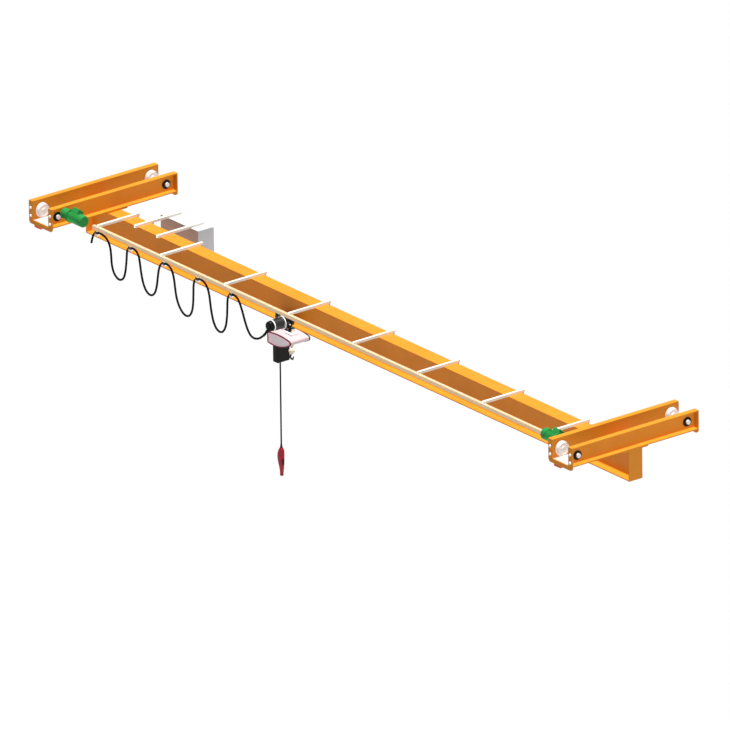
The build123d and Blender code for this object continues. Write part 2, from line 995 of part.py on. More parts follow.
def make_motor_rings():
    """Mounting ring with its spigot, and the ring behind the fan cover."""
    spigot_dia = trolley_barrel_dia - 2 * trolley_rib_height
    mount = motor_disc(trolley_ring_dia, barrel_y, trolley_ring_thick)
    mount += motor_disc(spigot_dia, ring_y, trolley_axle_head_length)
    end = motor_disc(trolley_end_ring_dia, cap_y, trolley_end_ring_thick)
    return together([mount, end])


def make_trolley_motor():
    """Motor barrel with ribs along its length."""
    core_dia = trolley_barrel_dia - 2 * trolley_rib_height
    motor = motor_disc(core_dia, end_ring_y, trolley_barrel_length)
    rib = Box(trolley_barrel_dia, trolley_barrel_length, trolley_rib_thick)
    middle = Pos(trolley_x, (barrel_y + end_ring_y) / 2, trolley_motor_z)
    for k in range(trolley_rib_count // 2):
        turn = 360 * k / trolley_rib_count
        motor += middle * Rot(0, turn, 0) * rib
    return motor


def make_fan_cover():
    """Rounded fan cover on the motor's free end, with the cable gland."""
    cap = motor_disc(trolley_fan_dia, cap_y - trolley_fan_length, trolley_fan_length)
    face = cap.faces().sort_by(Axis.Y)[0]
    cap = fillet(face.edges(), trolley_fan_round)
    end = Vector(*cable_route[-1])
    inward = (end - Vector(*cable_route[-2])).normalized()
    plane = Plane(origin=end, z_dir=inward)
    gland = plane * Cylinder(
        gland_dia / 2,
        gland_length,
        align=(Align.CENTER, Align.CENTER, Align.MIN),
    )
    return cap + gland


def hoist_outline():
    """Arched top, round nose and sloping underside, closed by a flat left side."""
    top_mid = (hoist_crown_length / 2, hoist_crown_rise)
    crown = ThreePointArc((0, 0), top_mid, (hoist_crown_length, hoist_crown_fall))
    nose = JernArc(crown @ 1, crown % 1, hoist_nose, -hoist_nose_turn)
    low_corner = (0, -hoist_side)
    underside = TangentArc(nose @ 1, low_corner, tangent=nose % 1)
    side = Line(low_corner, (0, 0))
    outline = make_face(crown + nose + underside + side)
    left = [v for v in outline.vertices() if abs(v.X) < cut_over]
    return fillet(left, hoist_corner)


def hoist_plane(y):
    """Plane across the hoist at y through its top left corner, facing the viewer."""
    return Plane(origin=(hoist_left, y, hoist_top), x_dir=(1, 0, 0), z_dir=(0, -1, 0))


def make_hoist_shell():
    """Plain prism of the housing between its rim and its rear cover."""
    y1 = hoist_rear_y - hoist_rear_thick
    y0 = hoist_front_y + hoist_rim_thick
    outline = offset(hoist_outline(), -hoist_cover_margin)
    return extrude(hoist_plane(y1) * outline, y1 - y0)


def make_hoist_body(shell):
    """Housing with the chain guide and its blind mouth underneath."""
    height = guide_height + guide_root
    guide = upright(guide_dia / 2, height, trolley_x, 0, guide_bottom)
    foot = guide.edges().sort_by(Axis.Z)[0]
    guide = chamfer(foot, guide_height - cut_over, (guide_dia - guide_mouth_dia) / 2)
    mouth = upright(
        chain_dia / 2 + seat_gap,
        guide_height + cut_over,
        trolley_x,
        0,
        guide_bottom - cut_over,
    )
    return shell + guide - mouth


def make_hoist_rim():
    """Raised rim round the housing's front."""
    outer = hoist_outline()
    y_back = hoist_front_y + hoist_rim_thick
    rim = extrude(hoist_plane(y_back) * outer, hoist_rim_thick)
    rim = fillet(rim.faces().sort_by(Axis.Y)[0].edges(), hoist_edge)
    inner = offset(outer, -hoist_rim_width)
    return rim - extrude(hoist_plane(y_back) * inner, hoist_rim_thick)


def make_hoist_panel():
    """Front cover, set back inside the rim."""
    y_back = hoist_front_y + hoist_rim_thick
    outline = offset(hoist_outline(), -hoist_rim_width - seat_gap)
    panel = extrude(hoist_plane(y_back) * outline, hoist_panel_thick)
    return fillet(panel.faces().sort_by(Axis.Y)[0].edges(), hoist_edge)


def make_hoist_rear():
    """Rear cover of the same outline."""
    cover = extrude(hoist_plane(hoist_rear_y) * hoist_outline(), hoist_rear_thick)
    rim = cover.faces().sort_by(Axis.Y)[-1].edges()
    return fillet(rim, hoist_edge)


def make_lug(shell):
    """Suspension lug from the hoist's arched top to the trolley's load bar."""
    base_top = hoist_top + hoist_crown_rise + lug_base_rise
    base = block(
        trolley_x - lug_base / 2,
        trolley_x + lug_base / 2,
        -lug_thick,
        lug_thick,
        hoist_top - hoist_crown_rise,
        base_top,
    )
    stem = block(
        trolley_x - lug_width / 2,
        trolley_x + lug_width / 2,
        -lug_thick / 2,
        lug_thick / 2,
        base_top,
        load_bar_z,
    )
    eye = along_y(lug_width / 2, lug_thick, trolley_x, -lug_thick / 2, load_bar_z)
    hole = along_y(
        trolley_bar_dia / 2 + running_gap,
        lug_thick + 2 * cut_over,
        trolley_x,
        -lug_thick / 2 - cut_over,
        load_bar_z,
    )
    return base + stem + eye - hole - shell


def make_container(shell):
    """Chain container with rounded edges, hung under the housing."""
    top = hoist_bottom + hoist_crown_rise
    case = block(
        container_x - container_width / 2,
        container_x + container_width / 2,
        container_y - container_depth / 2,
        container_y + container_depth / 2,
        hoist_bottom - container_height,
        top,
    )
    case = fillet(case.edges().filter_by(Axis.Z), container_corner)
    low = case.faces().sort_by(Axis.Z)[0]
    return fillet(low.edges(), container_round) - shell


def make_chain():
    """Short stretch of chain between the guide and the hook block."""
    return upright(chain_dia / 2, chain_stub + guide_height, trolley_x, 0, block_top)


def make_hook_block():
    """Swivel block at the chain's end, hollow below for the hook's nut."""
    bottom = block_top - block_height
    shoulder = block_top - block_shoulder_share * block_height
    waist = block_top - block_waist_share * block_height
    profile = Polyline(
        (0, bottom),
        (block_foot_dia / 2, bottom),
        (block_dia / 2, waist),
        (block_dia / 2, shoulder),
        (block_top_dia / 2, block_top),
        (0, block_top),
        close=True,
    )
    section = Plane(origin=(trolley_x, 0, 0), z_dir=(0, -1, 0), x_dir=(1, 0, 0))
    body = revolve(section * make_face(profile), Axis((trolley_x, 0, 0), (0, 0, 1)))
    bends = body.edges().filter_by(GeomType.CIRCLE)
    body = fillet(bends, block_round)
    shaft = upright(
        shank_dia / 2 + running_gap,
        block_height / 2,
        trolley_x,
        0,
        bottom - cut_over,
    )
    room_start = bottom + block_bore_depth
    room = upright(
        shank_nut_dia / 2 + running_gap,
        shank_nut_length + 2 * shank_room,
        trolley_x,
        0,
        room_start,
    )
    return body - shaft - room


def make_hook():
    """Hook whose sections grow round the bowl and taper to the tip, on its shank."""
    bottom = block_top - block_height
    nut_z = bottom + block_bore_depth + shank_room
    nut = upright(shank_nut_dia / 2, shank_nut_length, trolley_x, 0, nut_z)
    crown_z = bottom - shank_length - shank_dia / 2
    shank = upright(shank_dia / 2, nut_z - crown_z, trolley_x, 0, crown_z)
    crown = Pos(trolley_x, 0, crown_z) * Sphere(shank_dia / 2)
    sections = []
    for turn, reach, tall, wide in hook_shares:
        hub = Pos(trolley_x, 0, crown_z - hook_radius) * Rot(0, -turn, 0)
        spot = hub * Pos(0, 0, reach * hook_radius) * Rot(0, -90, 0)
        sections.append(spot * Ellipse(tall * hook_thick / 2, wide * hook_thick / 2))
    return nut + shank + crown + loft(sections)


def make_pendant_gland(shell):
    """Gland under the housing where the pendant's cable comes out."""
    bottom = hoist_bottom - pendant_gland_height
    height = pendant_gland_height + hoist_crown_rise
    gland = upright(pendant_gland_dia / 2, height, pendant_x, pendant_y, bottom)
    return gland - shell


def pendant_top():
    """Height of the pendant's top, at the end of its cable."""
    return hoist_bottom - pendant_gland_height - pendant_cable_length


def make_pendant_cable():
    """Straight cable that the pendant's weight pulls tight."""
    return upright(
        pendant_cable_dia / 2, pendant_cable_length, pendant_x, pendant_y, pendant_top()
    )


def make_pendant_form():
    """Whole outer form, a broad head that narrows to a grip."""
    sections = []
    for share, shift, wide, deep in pendant_shares:
        x = pendant_x + shift * pendant_width
        width = wide * pendant_width
        depth = deep * pendant_depth
        corner = pendant_corner_share * width
        plane = Plane(origin=(x, pendant_y, pendant_top() - share * pendant_length))
        sections.append(plane * RectangleRounded(width, depth, corner))
    return loft(sections)


def recess_slab(near, far):
    """Round-ended slab across the pendant's button side between two x places."""
    start = pendant_top() - pendant_recess_start_share * pendant_length
    end = pendant_top() - pendant_recess_end_share * pendant_length
    plane = Plane(
        origin=(near, pendant_y, (start + end) / 2), x_dir=(0, 0, 1), z_dir=(1, 0, 0)
    )
    outline = SlotOverall(start - end, pendant_recess_width)
    return extrude(plane * outline, far - near)


def make_pendant():
    """Pendant's housing with its button recess, its button plate and its end cap."""
    form = make_pendant_form()
    side_x = form.bounding_box().max.X
    floor_x = side_x - pendant_recess_depth
    bottom = pendant_top() - pendant_length
    low = block(
        pendant_x - pendant_width,
        pendant_x + pendant_width,
        pendant_y - pendant_depth,
        pendant_y + pendant_depth,
        bottom - cut_over,
        bottom + pendant_cap_length,
    )
    plate = recess_slab(floor_x, floor_x + pendant_plate_thick)
    middle_share = (pendant_recess_start_share + pendant_recess_end_share) / 2
    middle = pendant_top() - middle_share * pendant_length
    for k in range(pendant_buttons):
        z = middle + (k - (pendant_buttons - 1) / 2) * pendant_button_pitch
        height = pendant_plate_thick + pendant_button_height
        plate += along_x(pendant_button_dia / 2, height, floor_x, pendant_y, z)
    housing = form - low - recess_slab(floor_x, side_x + cut_over)
    return housing, plate, form & low


def build_all():
    """Make every sub-part and write it out."""
    save("main_girder", make_girder())
    save("girder_end_plates", make_girder_ends())
    save("head_plates", together(make_head_plate(x) for x in (0, span)))
    for name, centre in (("left", 0), ("right", span)):
        beams = [make_channel(centre, hand) for hand in (-1, 1)]
        save(f"{name}_carriage_channels", together(beams))
        plates = [make_end_plate(centre, end) for end in (-1, 1)]
        save(f"{name}_carriage_end_plates", together(plates))
        for hand, side in ((-1, "a"), (1, "b")):
            for y, end in zip(axle_spots(), ("front", "rear")):
                save(f"{name}_{end}_wheel_{side}", make_wheel(centre, hand, y))
    save("end_plate_pads", make_pads())
    save("carriage_axles", together(make_axle(*spot) for spot in each_axle()))
    save("axle_covers", together(make_axle_cover(*spot) for spot in each_axle()))
    save("travel_motors", together([make_travel_motor(0, 1), make_travel_motor(span, -1)]))
    save("outrigger_arms", make_arms())
    save("arm_clamps", make_clamps())
    save("cable_rail", make_cable_rail())
    save("control_panel", make_panel())
    cable = make_tube(cable_route, cable_dia)
    print_cable(cable)
    loops = make_loops(cable)
    room = make_tube(cable_route, cable_dia + 2 * seat_gap)
    for number, x in enumerate(carrier_places(), start=1):
        save(f"festoon_loop_{number}", loops[number - 1])
        save(f"festoon_carrier_{number}", make_carrier(x, room))
    save("trolley_plates", make_trolley_plates())
    for hand, name in ((-1, "left"), (1, "right")):
        for side, end in ((-1, "front"), (1, "rear")):
            save(f"trolley_wheel_{end}_{name}", make_trolley_wheel(hand, side))
    save("trolley_axles", make_trolley_axles())
    save("trolley_pins", make_trolley_pins())
    save("trolley_motor", make_trolley_motor())
    save("trolley_motor_rings", make_motor_rings())
    save("trolley_fan_cover", make_fan_cover())
    shell = make_hoist_shell()
    save("hoist_body", make_hoist_body(shell))
    save("hoist_front_rim", make_hoist_rim())
    save("hoist_front_cover", make_hoist_panel())
    save("hoist_rear_cover", make_hoist_rear())
    save("suspension_lug", make_lug(shell))
    save("chain_container", make_container(shell))
    save("load_chain", make_chain())
    save("hook_block", make_hook_block())
    save("load_hook", make_hook())
    save("pendant_gland", make_pendant_gland(shell))
    save("pendant_cable", make_pendant_cable())
    housing, plate, cap = make_pendant()
    save("control_pendant", housing)
    save("pendant_button_plate", plate)
    save("pendant_end_cap", cap)


if __name__ == "__main__":
    build_all()
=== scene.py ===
from math import asin, cos, pi, radians, sin

import bpy
from mathutils import Matrix, Vector


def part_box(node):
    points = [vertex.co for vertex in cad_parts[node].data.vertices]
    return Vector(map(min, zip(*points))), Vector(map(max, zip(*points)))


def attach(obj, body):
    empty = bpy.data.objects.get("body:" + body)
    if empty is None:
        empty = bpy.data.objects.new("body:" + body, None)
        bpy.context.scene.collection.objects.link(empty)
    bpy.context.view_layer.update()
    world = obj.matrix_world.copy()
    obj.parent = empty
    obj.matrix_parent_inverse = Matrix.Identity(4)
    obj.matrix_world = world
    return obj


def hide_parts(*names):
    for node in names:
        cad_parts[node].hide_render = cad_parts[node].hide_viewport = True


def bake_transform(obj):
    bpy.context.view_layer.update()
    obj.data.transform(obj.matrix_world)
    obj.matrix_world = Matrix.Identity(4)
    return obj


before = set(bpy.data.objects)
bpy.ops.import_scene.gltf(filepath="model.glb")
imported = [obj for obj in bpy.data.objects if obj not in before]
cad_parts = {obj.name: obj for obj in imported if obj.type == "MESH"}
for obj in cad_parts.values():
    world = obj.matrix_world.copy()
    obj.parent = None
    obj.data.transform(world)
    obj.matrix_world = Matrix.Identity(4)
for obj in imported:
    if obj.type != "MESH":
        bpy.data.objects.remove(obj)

bl_info = {
    "name": "Underslung bridge crane",
    "version": (1, 0, 0),
    "blender": (4, 5, 0),
    "location": "View3D > Sidebar > Crane",
    "description": "Dresses the packed crane with paint, cables, chain and fasteners",
    "category": "Object",
}

LENGTH = {"subtype": "DISTANCE", "unit": "LENGTH"}
UP = (0.0, 0.0, 1.0)
DOWN = (0.0, 0.0, -1.0)
FRONT = (0.0, -1.0, 0.0)
BACK = (0.0, 1.0, 0.0)

# Places on the frame, in metres
CARRIAGES = (0.0, 7.85)
LEG_OFFSET = 0.148
PLATE_FACE = 0.750
PLATE_BOLT_Z = (0.015, 0.096)
FIRST_ARM, ARM_PITCH, ARM_COUNT = 0.398, 0.971, 8
ARMS = [FIRST_ARM + ARM_PITCH * number for number in range(ARM_COUNT)]
ARM_TOP = -0.0105
CLAMP_FOOT = -0.0558
CLAMP_Y = 0.0895
PANEL_ARMS = (0.625, 0.965)
PANEL_BOLT_Y = (0.318, 0.412)
CARRIER_STEM = -0.079
TROLLEY_X = 2.862
TROLLEY_FACE = 0.0995
PIN_OFFSET, PIN_Z = 0.075, -0.3655
AXLE_OFFSET, AXLE_Z, AXLE_END = 0.088, -0.2942, 0.008
GUIDE_X, GUIDE_Z = 2.9712, -0.306
COVER_FRONT, COVER_BACK = -0.115, 0.122
FRONT_SCREWS = ((2.664, -0.483), (2.664, -0.560), (2.948, -0.487))
REAR_SCREWS = ((2.660, -0.478), (2.660, -0.566), (2.950, -0.492), (2.862, -0.548))

# The two travel motors: which way each points, its flange's face, its box's middle
TRAVEL_MOTORS = ((1, 0.236, 0.2975), (-1, 7.614, 7.5525))
MOTOR_Y, MOTOR_Z = -0.575, 0.086
FLANGE_CIRCLE = 0.0588
BOX_LEAN = radians(40)
LID_RISE, LID_HALF_LENGTH, LID_HALF_WIDTH = 0.086, 0.036, 0.027
RING_CIRCLE, RING_FACE, RING_Z = 0.060, -0.1175, -0.3155

# Fasteners: width across the flats, height, then washer and stud where they have one
ARM_BOLT = (0.014, 0.005)
RAIL_BOLT = (0.012, 0.005)
CLAMP_NUT = (0.016, 0.007)
PLATE_BOLT = (0.022, 0.009, 0.003)
FLANGE_SCREW = (0.009, 0.005)
LID_SCREW = (0.007, 0.003)
RING_SCREW = (0.008, 0.004)
PIN_NUT = (0.028, 0.010, 0.003, 0.004)
AXLE_SCREW = (0.014, 0.005)
GUIDE_BOLT = (0.013, 0.007)
FRONT_SCREW = (0.007, 0.003)
REAR_SCREW = (0.009, 0.004)

# Strain reliefs: radius at the foot and at the tip, length
HOIST_BOOT = (0.0112, 0.0084, 0.034)
PENDANT_BOOT = (0.0128, 0.0084, 0.042)
GLAND_BOOT = (0.0145, 0.0116, 0.030)
GLAND_REACH = 0.016
BOOT_RINGS = 5

SADDLE_RADIUS = 0.026
SADDLE_WIDTH = 0.030
SADDLE_FLATTENING = 0.85
SADDLE_EDGE = 0.0015

# The hook's latch, from its root to its tip, and its pin
LATCH_ROOT, LATCH_TIP = (2.8665, 0.0, -0.6625), (2.8880, 0.0, -0.6760)
LATCH_WIDTH, LATCH_SHEET = 0.010, 0.0016
LATCH_PIN_RADIUS, LATCH_PIN_LENGTH = 0.0022, 0.0150
LATCH_EDGE, LATCH_PIN_EDGE = 0.0004, 0.0006

# The load chain between the hoist and the hook block, drawn in
CHAIN_TOP = (2.862, 0.0, -0.5765)
CHAIN_FOOT = (2.862, 0.0, -0.6035)
HOOK_DROP = 3.0
LINK_PITCH = 0.012
LINK_WIRE = 0.0019
LINK_BEND = 0.0040
LINK_HALF_SIDE = 0.0038

# Where the front cover's painted-light colour greys: its middle and reach, as the mapping takes
# them
GREYING_SHIFT, GREYING_SCALE = (-17.2, 0.0, 10.2), (6.1, 0.0, 19.6)

# The view and its light
VIEW_CENTRE = (3.97407, 0.0, -0.43066)
SENSOR = 36.0
FLOOR_SIZE, FLOOR_PLACE, FLOOR_GREY = 160.0, (3.9, 0.0, -6.0), 0.475
SKY_STRENGTH, BACKDROP_GREY = 0.18, 0.97
LIGHTS = [
    ("key", (-0.12, 0.10, 1.0), 5.95, 20.0),
    ("fill", (0.95, -0.10, 0.30), 0.9, 40.0),
]

# Sockets of a colour Mix node
MIX_BEFORE, MIX_BEYOND, MIX_RESULT = 6, 7, 2

# Points that the festoon cable runs past, in metres, the free tail first
CABLE_Y = -0.365
TAIL_AND_LOOP_1 = [
    (0.280, -0.228), (0.296, -0.165), (0.330, -0.113), (0.378, -0.092),
    (0.440, -0.093), (0.520, -0.110), (0.570, -0.180), (0.583, -0.270),
    (0.588, -0.360), (0.622, -0.440), (0.695, -0.482), (0.764, -0.452),
    (0.796, -0.380), (0.812, -0.290), (0.822, -0.205), (0.829, -0.132),
    (0.868, -0.095), (0.888, -0.094),
]
LOOP_2 = [
    (0.888, -0.094), (0.945, -0.091), (1.004, -0.127), (1.024, -0.210),
    (1.042, -0.310), (1.070, -0.405), (1.122, -0.475), (1.195, -0.490),
    (1.254, -0.440), (1.283, -0.350), (1.297, -0.258), (1.316, -0.174),
    (1.343, -0.120), (1.388, -0.095), (1.401, -0.094),
]
LOOP_3 = [
    (1.401, -0.094), (1.457, -0.091), (1.515, -0.130), (1.545, -0.205),
    (1.560, -0.302), (1.582, -0.405), (1.632, -0.485), (1.702, -0.532),
    (1.775, -0.520), (1.820, -0.450), (1.836, -0.355), (1.840, -0.265),
    (1.842, -0.190), (1.856, -0.132), (1.897, -0.095), (1.914, -0.094),
]
LOOP_4 = [
    (1.914, -0.094), (1.970, -0.089), (2.040, -0.117), (2.080, -0.190),
    (2.096, -0.290), (2.115, -0.388), (2.148, -0.480), (2.208, -0.538),
    (2.282, -0.528), (2.330, -0.455), (2.349, -0.360), (2.356, -0.265),
    (2.359, -0.185), (2.372, -0.130), (2.413, -0.096), (2.427, -0.0965),
    (2.470, -0.0965),
]
# The last loop leaves the rail's plane and rises to the trolley motor's gland
LOOP_5 = [
    (2.466, -0.365, -0.0965), (2.505, -0.365, -0.1000), (2.545, -0.365, -0.145),
    (2.583, -0.365, -0.215), (2.618, -0.365, -0.300), (2.660, -0.365, -0.382),
    (2.716, -0.365, -0.438), (2.775, -0.350, -0.448), (2.828, -0.322, -0.420),
    (2.852, -0.292, -0.372),
]
LOOP_5_END = 2.840
# At this share of its length the fifth loop's blend has gone 0.8 of the trolley's way,
# which is how far the last carrier goes
CARRIER_5_SHARE = 0.7129

PENDANT_LINE = [
    (2.659, 0.019, z) for z in (-0.5905, -0.720, -0.880, -1.060, -1.240, -1.420, -1.560, -1.6725)
]


def in_plane(points):
    """Points of a loop that hangs straight under the cable rail."""
    return [(x, CABLE_Y, z) for x, z in points]


def deselect():
    """Nothing selected, so that an operator acts only on what follows."""
    if bpy.context.object and bpy.context.object.mode != "OBJECT":
        bpy.ops.object.mode_set(mode="OBJECT")
    bpy.ops.object.select_all(action="DESELECT")


def select_only(piece):
    """One piece selected and active."""
    deselect()
    piece.select_set(True)
    bpy.context.view_layer.objects.active = piece


def wear(piece, material):
    """Gives a piece one finish all over."""
    piece.data.materials.clear()
    piece.data.materials.append(material)


def finished(piece, name, body, material, smooth=30.0):
    """Names a finished piece, puts its place into its mesh and lets it ride on a body."""
    select_only(piece)
    bpy.ops.object.transform_apply(location=True, rotation=True, scale=True)
    bpy.ops.object.shade_smooth_by_angle(angle=radians(smooth))
    piece.name = name
    piece.data.name = name
    wear(piece, material)
    if body is not None:
        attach(piece, body)
    return piece


def start_shape(kind, **values):
    """Adds a primitive as the start of a piece, with nothing else selected."""
    deselect()
    getattr(bpy.ops.mesh, f"primitive_{kind}_add")(**values)
    return bpy.context.object


def pick_faces(piece, facing, level):
    """Selects the faces of a pattern that look one way at one height."""
    bpy.ops.object.mode_set(mode="EDIT")
    bpy.ops.mesh.select_mode(type="FACE")
    bpy.ops.mesh.select_all(action="DESELECT")
    bpy.ops.object.mode_set(mode="OBJECT")
    wanted = Vector(facing)
    for face in piece.data.polygons:
        high = (piece.matrix_world @ face.center).dot(wanted)
        face.select = face.normal.dot(wanted) > 0.99 and abs(high - level) < 1e-5
    bpy.ops.object.mode_set(mode="EDIT")


def edge_rounded(piece, width):
    """Rounds the sharp edges of the piece that is active."""
    bevel = piece.modifiers.new("edge", "BEVEL")
    bevel.width = width
    bevel.segments = 2
    bevel.limit_method = "ANGLE"
    bpy.ops.object.modifier_apply(modifier="edge")


def pushed_out(rise):
    """Extrudes the faces that are selected straight up."""
    bpy.ops.mesh.extrude_region_move(TRANSFORM_OT_translate={"value": (0.0, 0.0, rise)})


def joined(pieces):
    """Joins pieces into one."""
    if len(pieces) == 1:
        return pieces[0]
    deselect()
    for piece in pieces:
        piece.select_set(True)
    bpy.context.view_layer.objects.active = pieces[0]
    bpy.ops.object.join()
    return bpy.context.object


def hex_pattern(across, height, washer=0.0, stud=0.0):
    """Hexagon head or nut that faces up from the origin, on its washer."""
    top = washer + height
    head = start_shape(
        "cylinder", vertices=6, radius=across / 3 ** 0.5, depth=height,
        location=(0.0, 0.0, washer + height / 2),
    )
    pick_faces(head, UP, top)
    bpy.ops.mesh.bevel(offset=across * 0.07, segments=2, affect="EDGES")
    if stud:
        pick_faces(head, UP, top)
        bpy.ops.mesh.inset(thickness=across * 0.16)
        pushed_out(stud)
    bpy.ops.object.mode_set(mode="OBJECT")
    if not washer:
        return head
    disc = start_shape(
        "cylinder", vertices=20, radius=across * 0.62, depth=washer,
        location=(0.0, 0.0, washer / 2),
    )
    pick_faces(disc, UP, washer)
    bpy.ops.mesh.bevel(offset=washer * 0.3, segments=1, affect="EDGES")
    bpy.ops.object.mode_set(mode="OBJECT")
    return joined([head, disc])


def copies_of(pattern, places, name, body, material):
    """One piece made of copies of a pattern, each turned to face its own way."""
    select_only(pattern)
    bpy.ops.object.transform_apply(location=True, rotation=True, scale=True)
    made = []
    for place, facing in places:
        one = pattern.copy()
        one.data = pattern.data.copy()
        bpy.context.scene.collection.objects.link(one)
        turn = Vector(facing).to_track_quat("Z", "Y").to_matrix().to_4x4()
        one.matrix_world = Matrix.Translation(place) @ turn
        made.append(one)
    bpy.data.objects.remove(pattern)
    piece = finished(joined(made), name, body, material)
    return piece


def circle(radius, count=6):
    """Points round a bolt circle, as pairs of offsets."""
    angles = [2 * pi * (number + 0.5) / count for number in range(count)]
    return [(radius * cos(angle), radius * sin(angle)) for angle in angles]


class Nodes:
    """Short way to lay out a material's nodes."""

    def __init__(self, name, preview):
        self.material = bpy.data.materials.new(name)
        self.material.use_nodes = True
        self.material.diffuse_color = (*preview, 1.0)
        self.tree = self.material.node_tree
        self.shader = self.tree.nodes["Principled BSDF"]
        coordinates = self.add("ShaderNodeTexCoord")
        self.place = coordinates.outputs["Object"]

    def add(self, kind, **values):
        node = self.tree.nodes.new(kind)
        for key, value in values.items():
            setattr(node, key, value)
        return node

    def link(self, source, target):
        self.tree.links.new(source, target)

    def noise(self, scale, detail=3.0, rough=0.55):
        node = self.add("ShaderNodeTexNoise")
        node.inputs["Scale"].default_value = scale
        node.inputs["Detail"].default_value = detail
        node.inputs["Roughness"].default_value = rough
        self.link(self.place, node.inputs["Vector"])
        return node.outputs["Fac"]

    def ramp(self, source, stops):
        node = self.add("ShaderNodeValToRGB")
        elements = node.color_ramp.elements
        while len(elements) < len(stops):
            elements.new(0.5)
        for element, (position, colour) in zip(elements, stops):
            element.position = position
            element.color = (*colour, 1.0)
        self.link(source, node.inputs["Fac"])
        return node.outputs["Color"]

    def span(self, source, low, high, start=0.3, end=0.7):
        node = self.add("ShaderNodeMapRange")
        node.inputs["From Min"].default_value = start
        node.inputs["From Max"].default_value = end
        node.inputs["To Min"].default_value = low
        node.inputs["To Max"].default_value = high
        self.link(source, node.inputs["Value"])
        return node.outputs["Result"]

    def bump(self, source, strength, distance):
        node = self.add("ShaderNodeBump")
        node.inputs["Strength"].default_value = strength
        node.inputs["Distance"].default_value = distance
        self.link(source, node.inputs["Height"])
        return node.outputs["Normal"]


def shade(colour, factor):
    """A lighter or darker copy of a colour."""
    return tuple(min(1.0, c * factor) for c in colour)


def paint_finish(name, colour, rough, grime=0.10, gloss=0.1):
    """Sprayed machine paint: orange peel, slight fading and a little dust."""
    n = Nodes(name, colour)
    patches = n.noise(2.2, 4.0, 0.6)
    dull, fresh = shade(colour, 1.0 - grime), shade(colour, 1.0 + grime / 2)
    tone = n.ramp(patches, [(0.30, dull), (0.55, colour), (0.80, fresh)])
    n.link(tone, n.shader.inputs["Base Color"])
    dust = n.noise(9.0, 6.0, 0.65)
    n.link(n.span(dust, rough - 0.06, rough + 0.14), n.shader.inputs["Roughness"])
    peel = n.noise(420.0, 2.0, 0.5)
    n.link(n.bump(peel, 0.10, 0.0006), n.shader.inputs["Normal"])
    n.shader.inputs["Specular IOR Level"].default_value = gloss
    n.shader.inputs["Coat Weight"].default_value = gloss / 4
    n.shader.inputs["Coat Roughness"].default_value = 0.25
    return n.material


def steel_finish(name, colour, rough, metal):
    """Machined or plated steel with fine tool marks."""
    n = Nodes(name, colour)
    marks = n.noise(260.0, 2.0, 0.5)
    tone = n.ramp(marks, [(0.35, shade(colour, 0.94)), (0.65, shade(colour, 1.03))])
    n.link(tone, n.shader.inputs["Base Color"])
    n.link(n.span(marks, rough - 0.07, rough + 0.10), n.shader.inputs["Roughness"])
    n.link(n.bump(marks, 0.12, 0.0004), n.shader.inputs["Normal"])
    n.shader.inputs["Metallic"].default_value = metal
    return n.material


def zinc_finish(name, colour):
    """Galvanised sheet with its faint spangle."""
    n = Nodes(name, colour)
    cells = n.add("ShaderNodeTexVoronoi")
    cells.inputs["Scale"].default_value = 90.0
    n.link(n.place, cells.inputs["Vector"])
    grey = n.add("ShaderNodeRGBToBW")
    n.link(cells.outputs["Color"], grey.inputs["Color"])
    tone = n.ramp(grey.outputs["Val"], [(0.2, shade(colour, 0.90)), (0.8, shade(colour, 1.05))])
    n.link(tone, n.shader.inputs["Base Color"])
    rough = n.span(grey.outputs["Val"], 0.34, 0.50, 0.1, 0.9)
    n.link(rough, n.shader.inputs["Roughness"])
    n.shader.inputs["Metallic"].default_value = 0.35
    return n.material


def cast_finish(name, colour, rough, metal):
    """Painted casting with a fine sandy skin."""
    n = Nodes(name, colour)
    grain = n.noise(180.0, 4.0, 0.6)
    patches = n.noise(6.0, 4.0, 0.6)
    tone = n.ramp(patches, [(0.3, shade(colour, 0.84)), (0.7, shade(colour, 1.08))])
    n.link(tone, n.shader.inputs["Base Color"])
    n.link(n.span(grain, rough - 0.08, rough + 0.12), n.shader.inputs["Roughness"])
    n.link(n.bump(grain, 0.22, 0.0008), n.shader.inputs["Normal"])
    n.shader.inputs["Metallic"].default_value = metal
    return n.material


def rubber_finish(name, colour):
    """Cable jacket or rubber block, dull with a fine grain."""
    n = Nodes(name, colour)
    grain = n.noise(700.0, 2.0, 0.5)
    patches = n.noise(14.0, 3.0, 0.5)
    tone = n.ramp(patches, [(0.3, shade(colour, 0.8)), (0.7, shade(colour, 1.5))])
    n.link(tone, n.shader.inputs["Base Color"])
    n.link(n.span(grain, 0.54, 0.72), n.shader.inputs["Roughness"])
    n.link(n.bump(grain, 0.15, 0.0003), n.shader.inputs["Normal"])
    n.shader.inputs["Specular IOR Level"].default_value = 0.08
    return n.material


def plastic_finish(name, colour, rough=0.4, gloss=0.25):
    """Moulded plastic with a fine spark-eroded texture."""
    n = Nodes(name, colour)
    grain = n.noise(900.0, 2.0, 0.5)
    patches = n.noise(20.0, 3.0, 0.5)
    tone = n.ramp(patches, [(0.3, shade(colour, 0.93)), (0.7, shade(colour, 1.05))])
    n.link(tone, n.shader.inputs["Base Color"])
    n.link(n.span(grain, rough - 0.05, rough + 0.08), n.shader.inputs["Roughness"])
    n.link(n.bump(grain, 0.12, 0.0002), n.shader.inputs["Normal"])
    n.shader.inputs["Specular IOR Level"].default_value = gloss
    return n.material


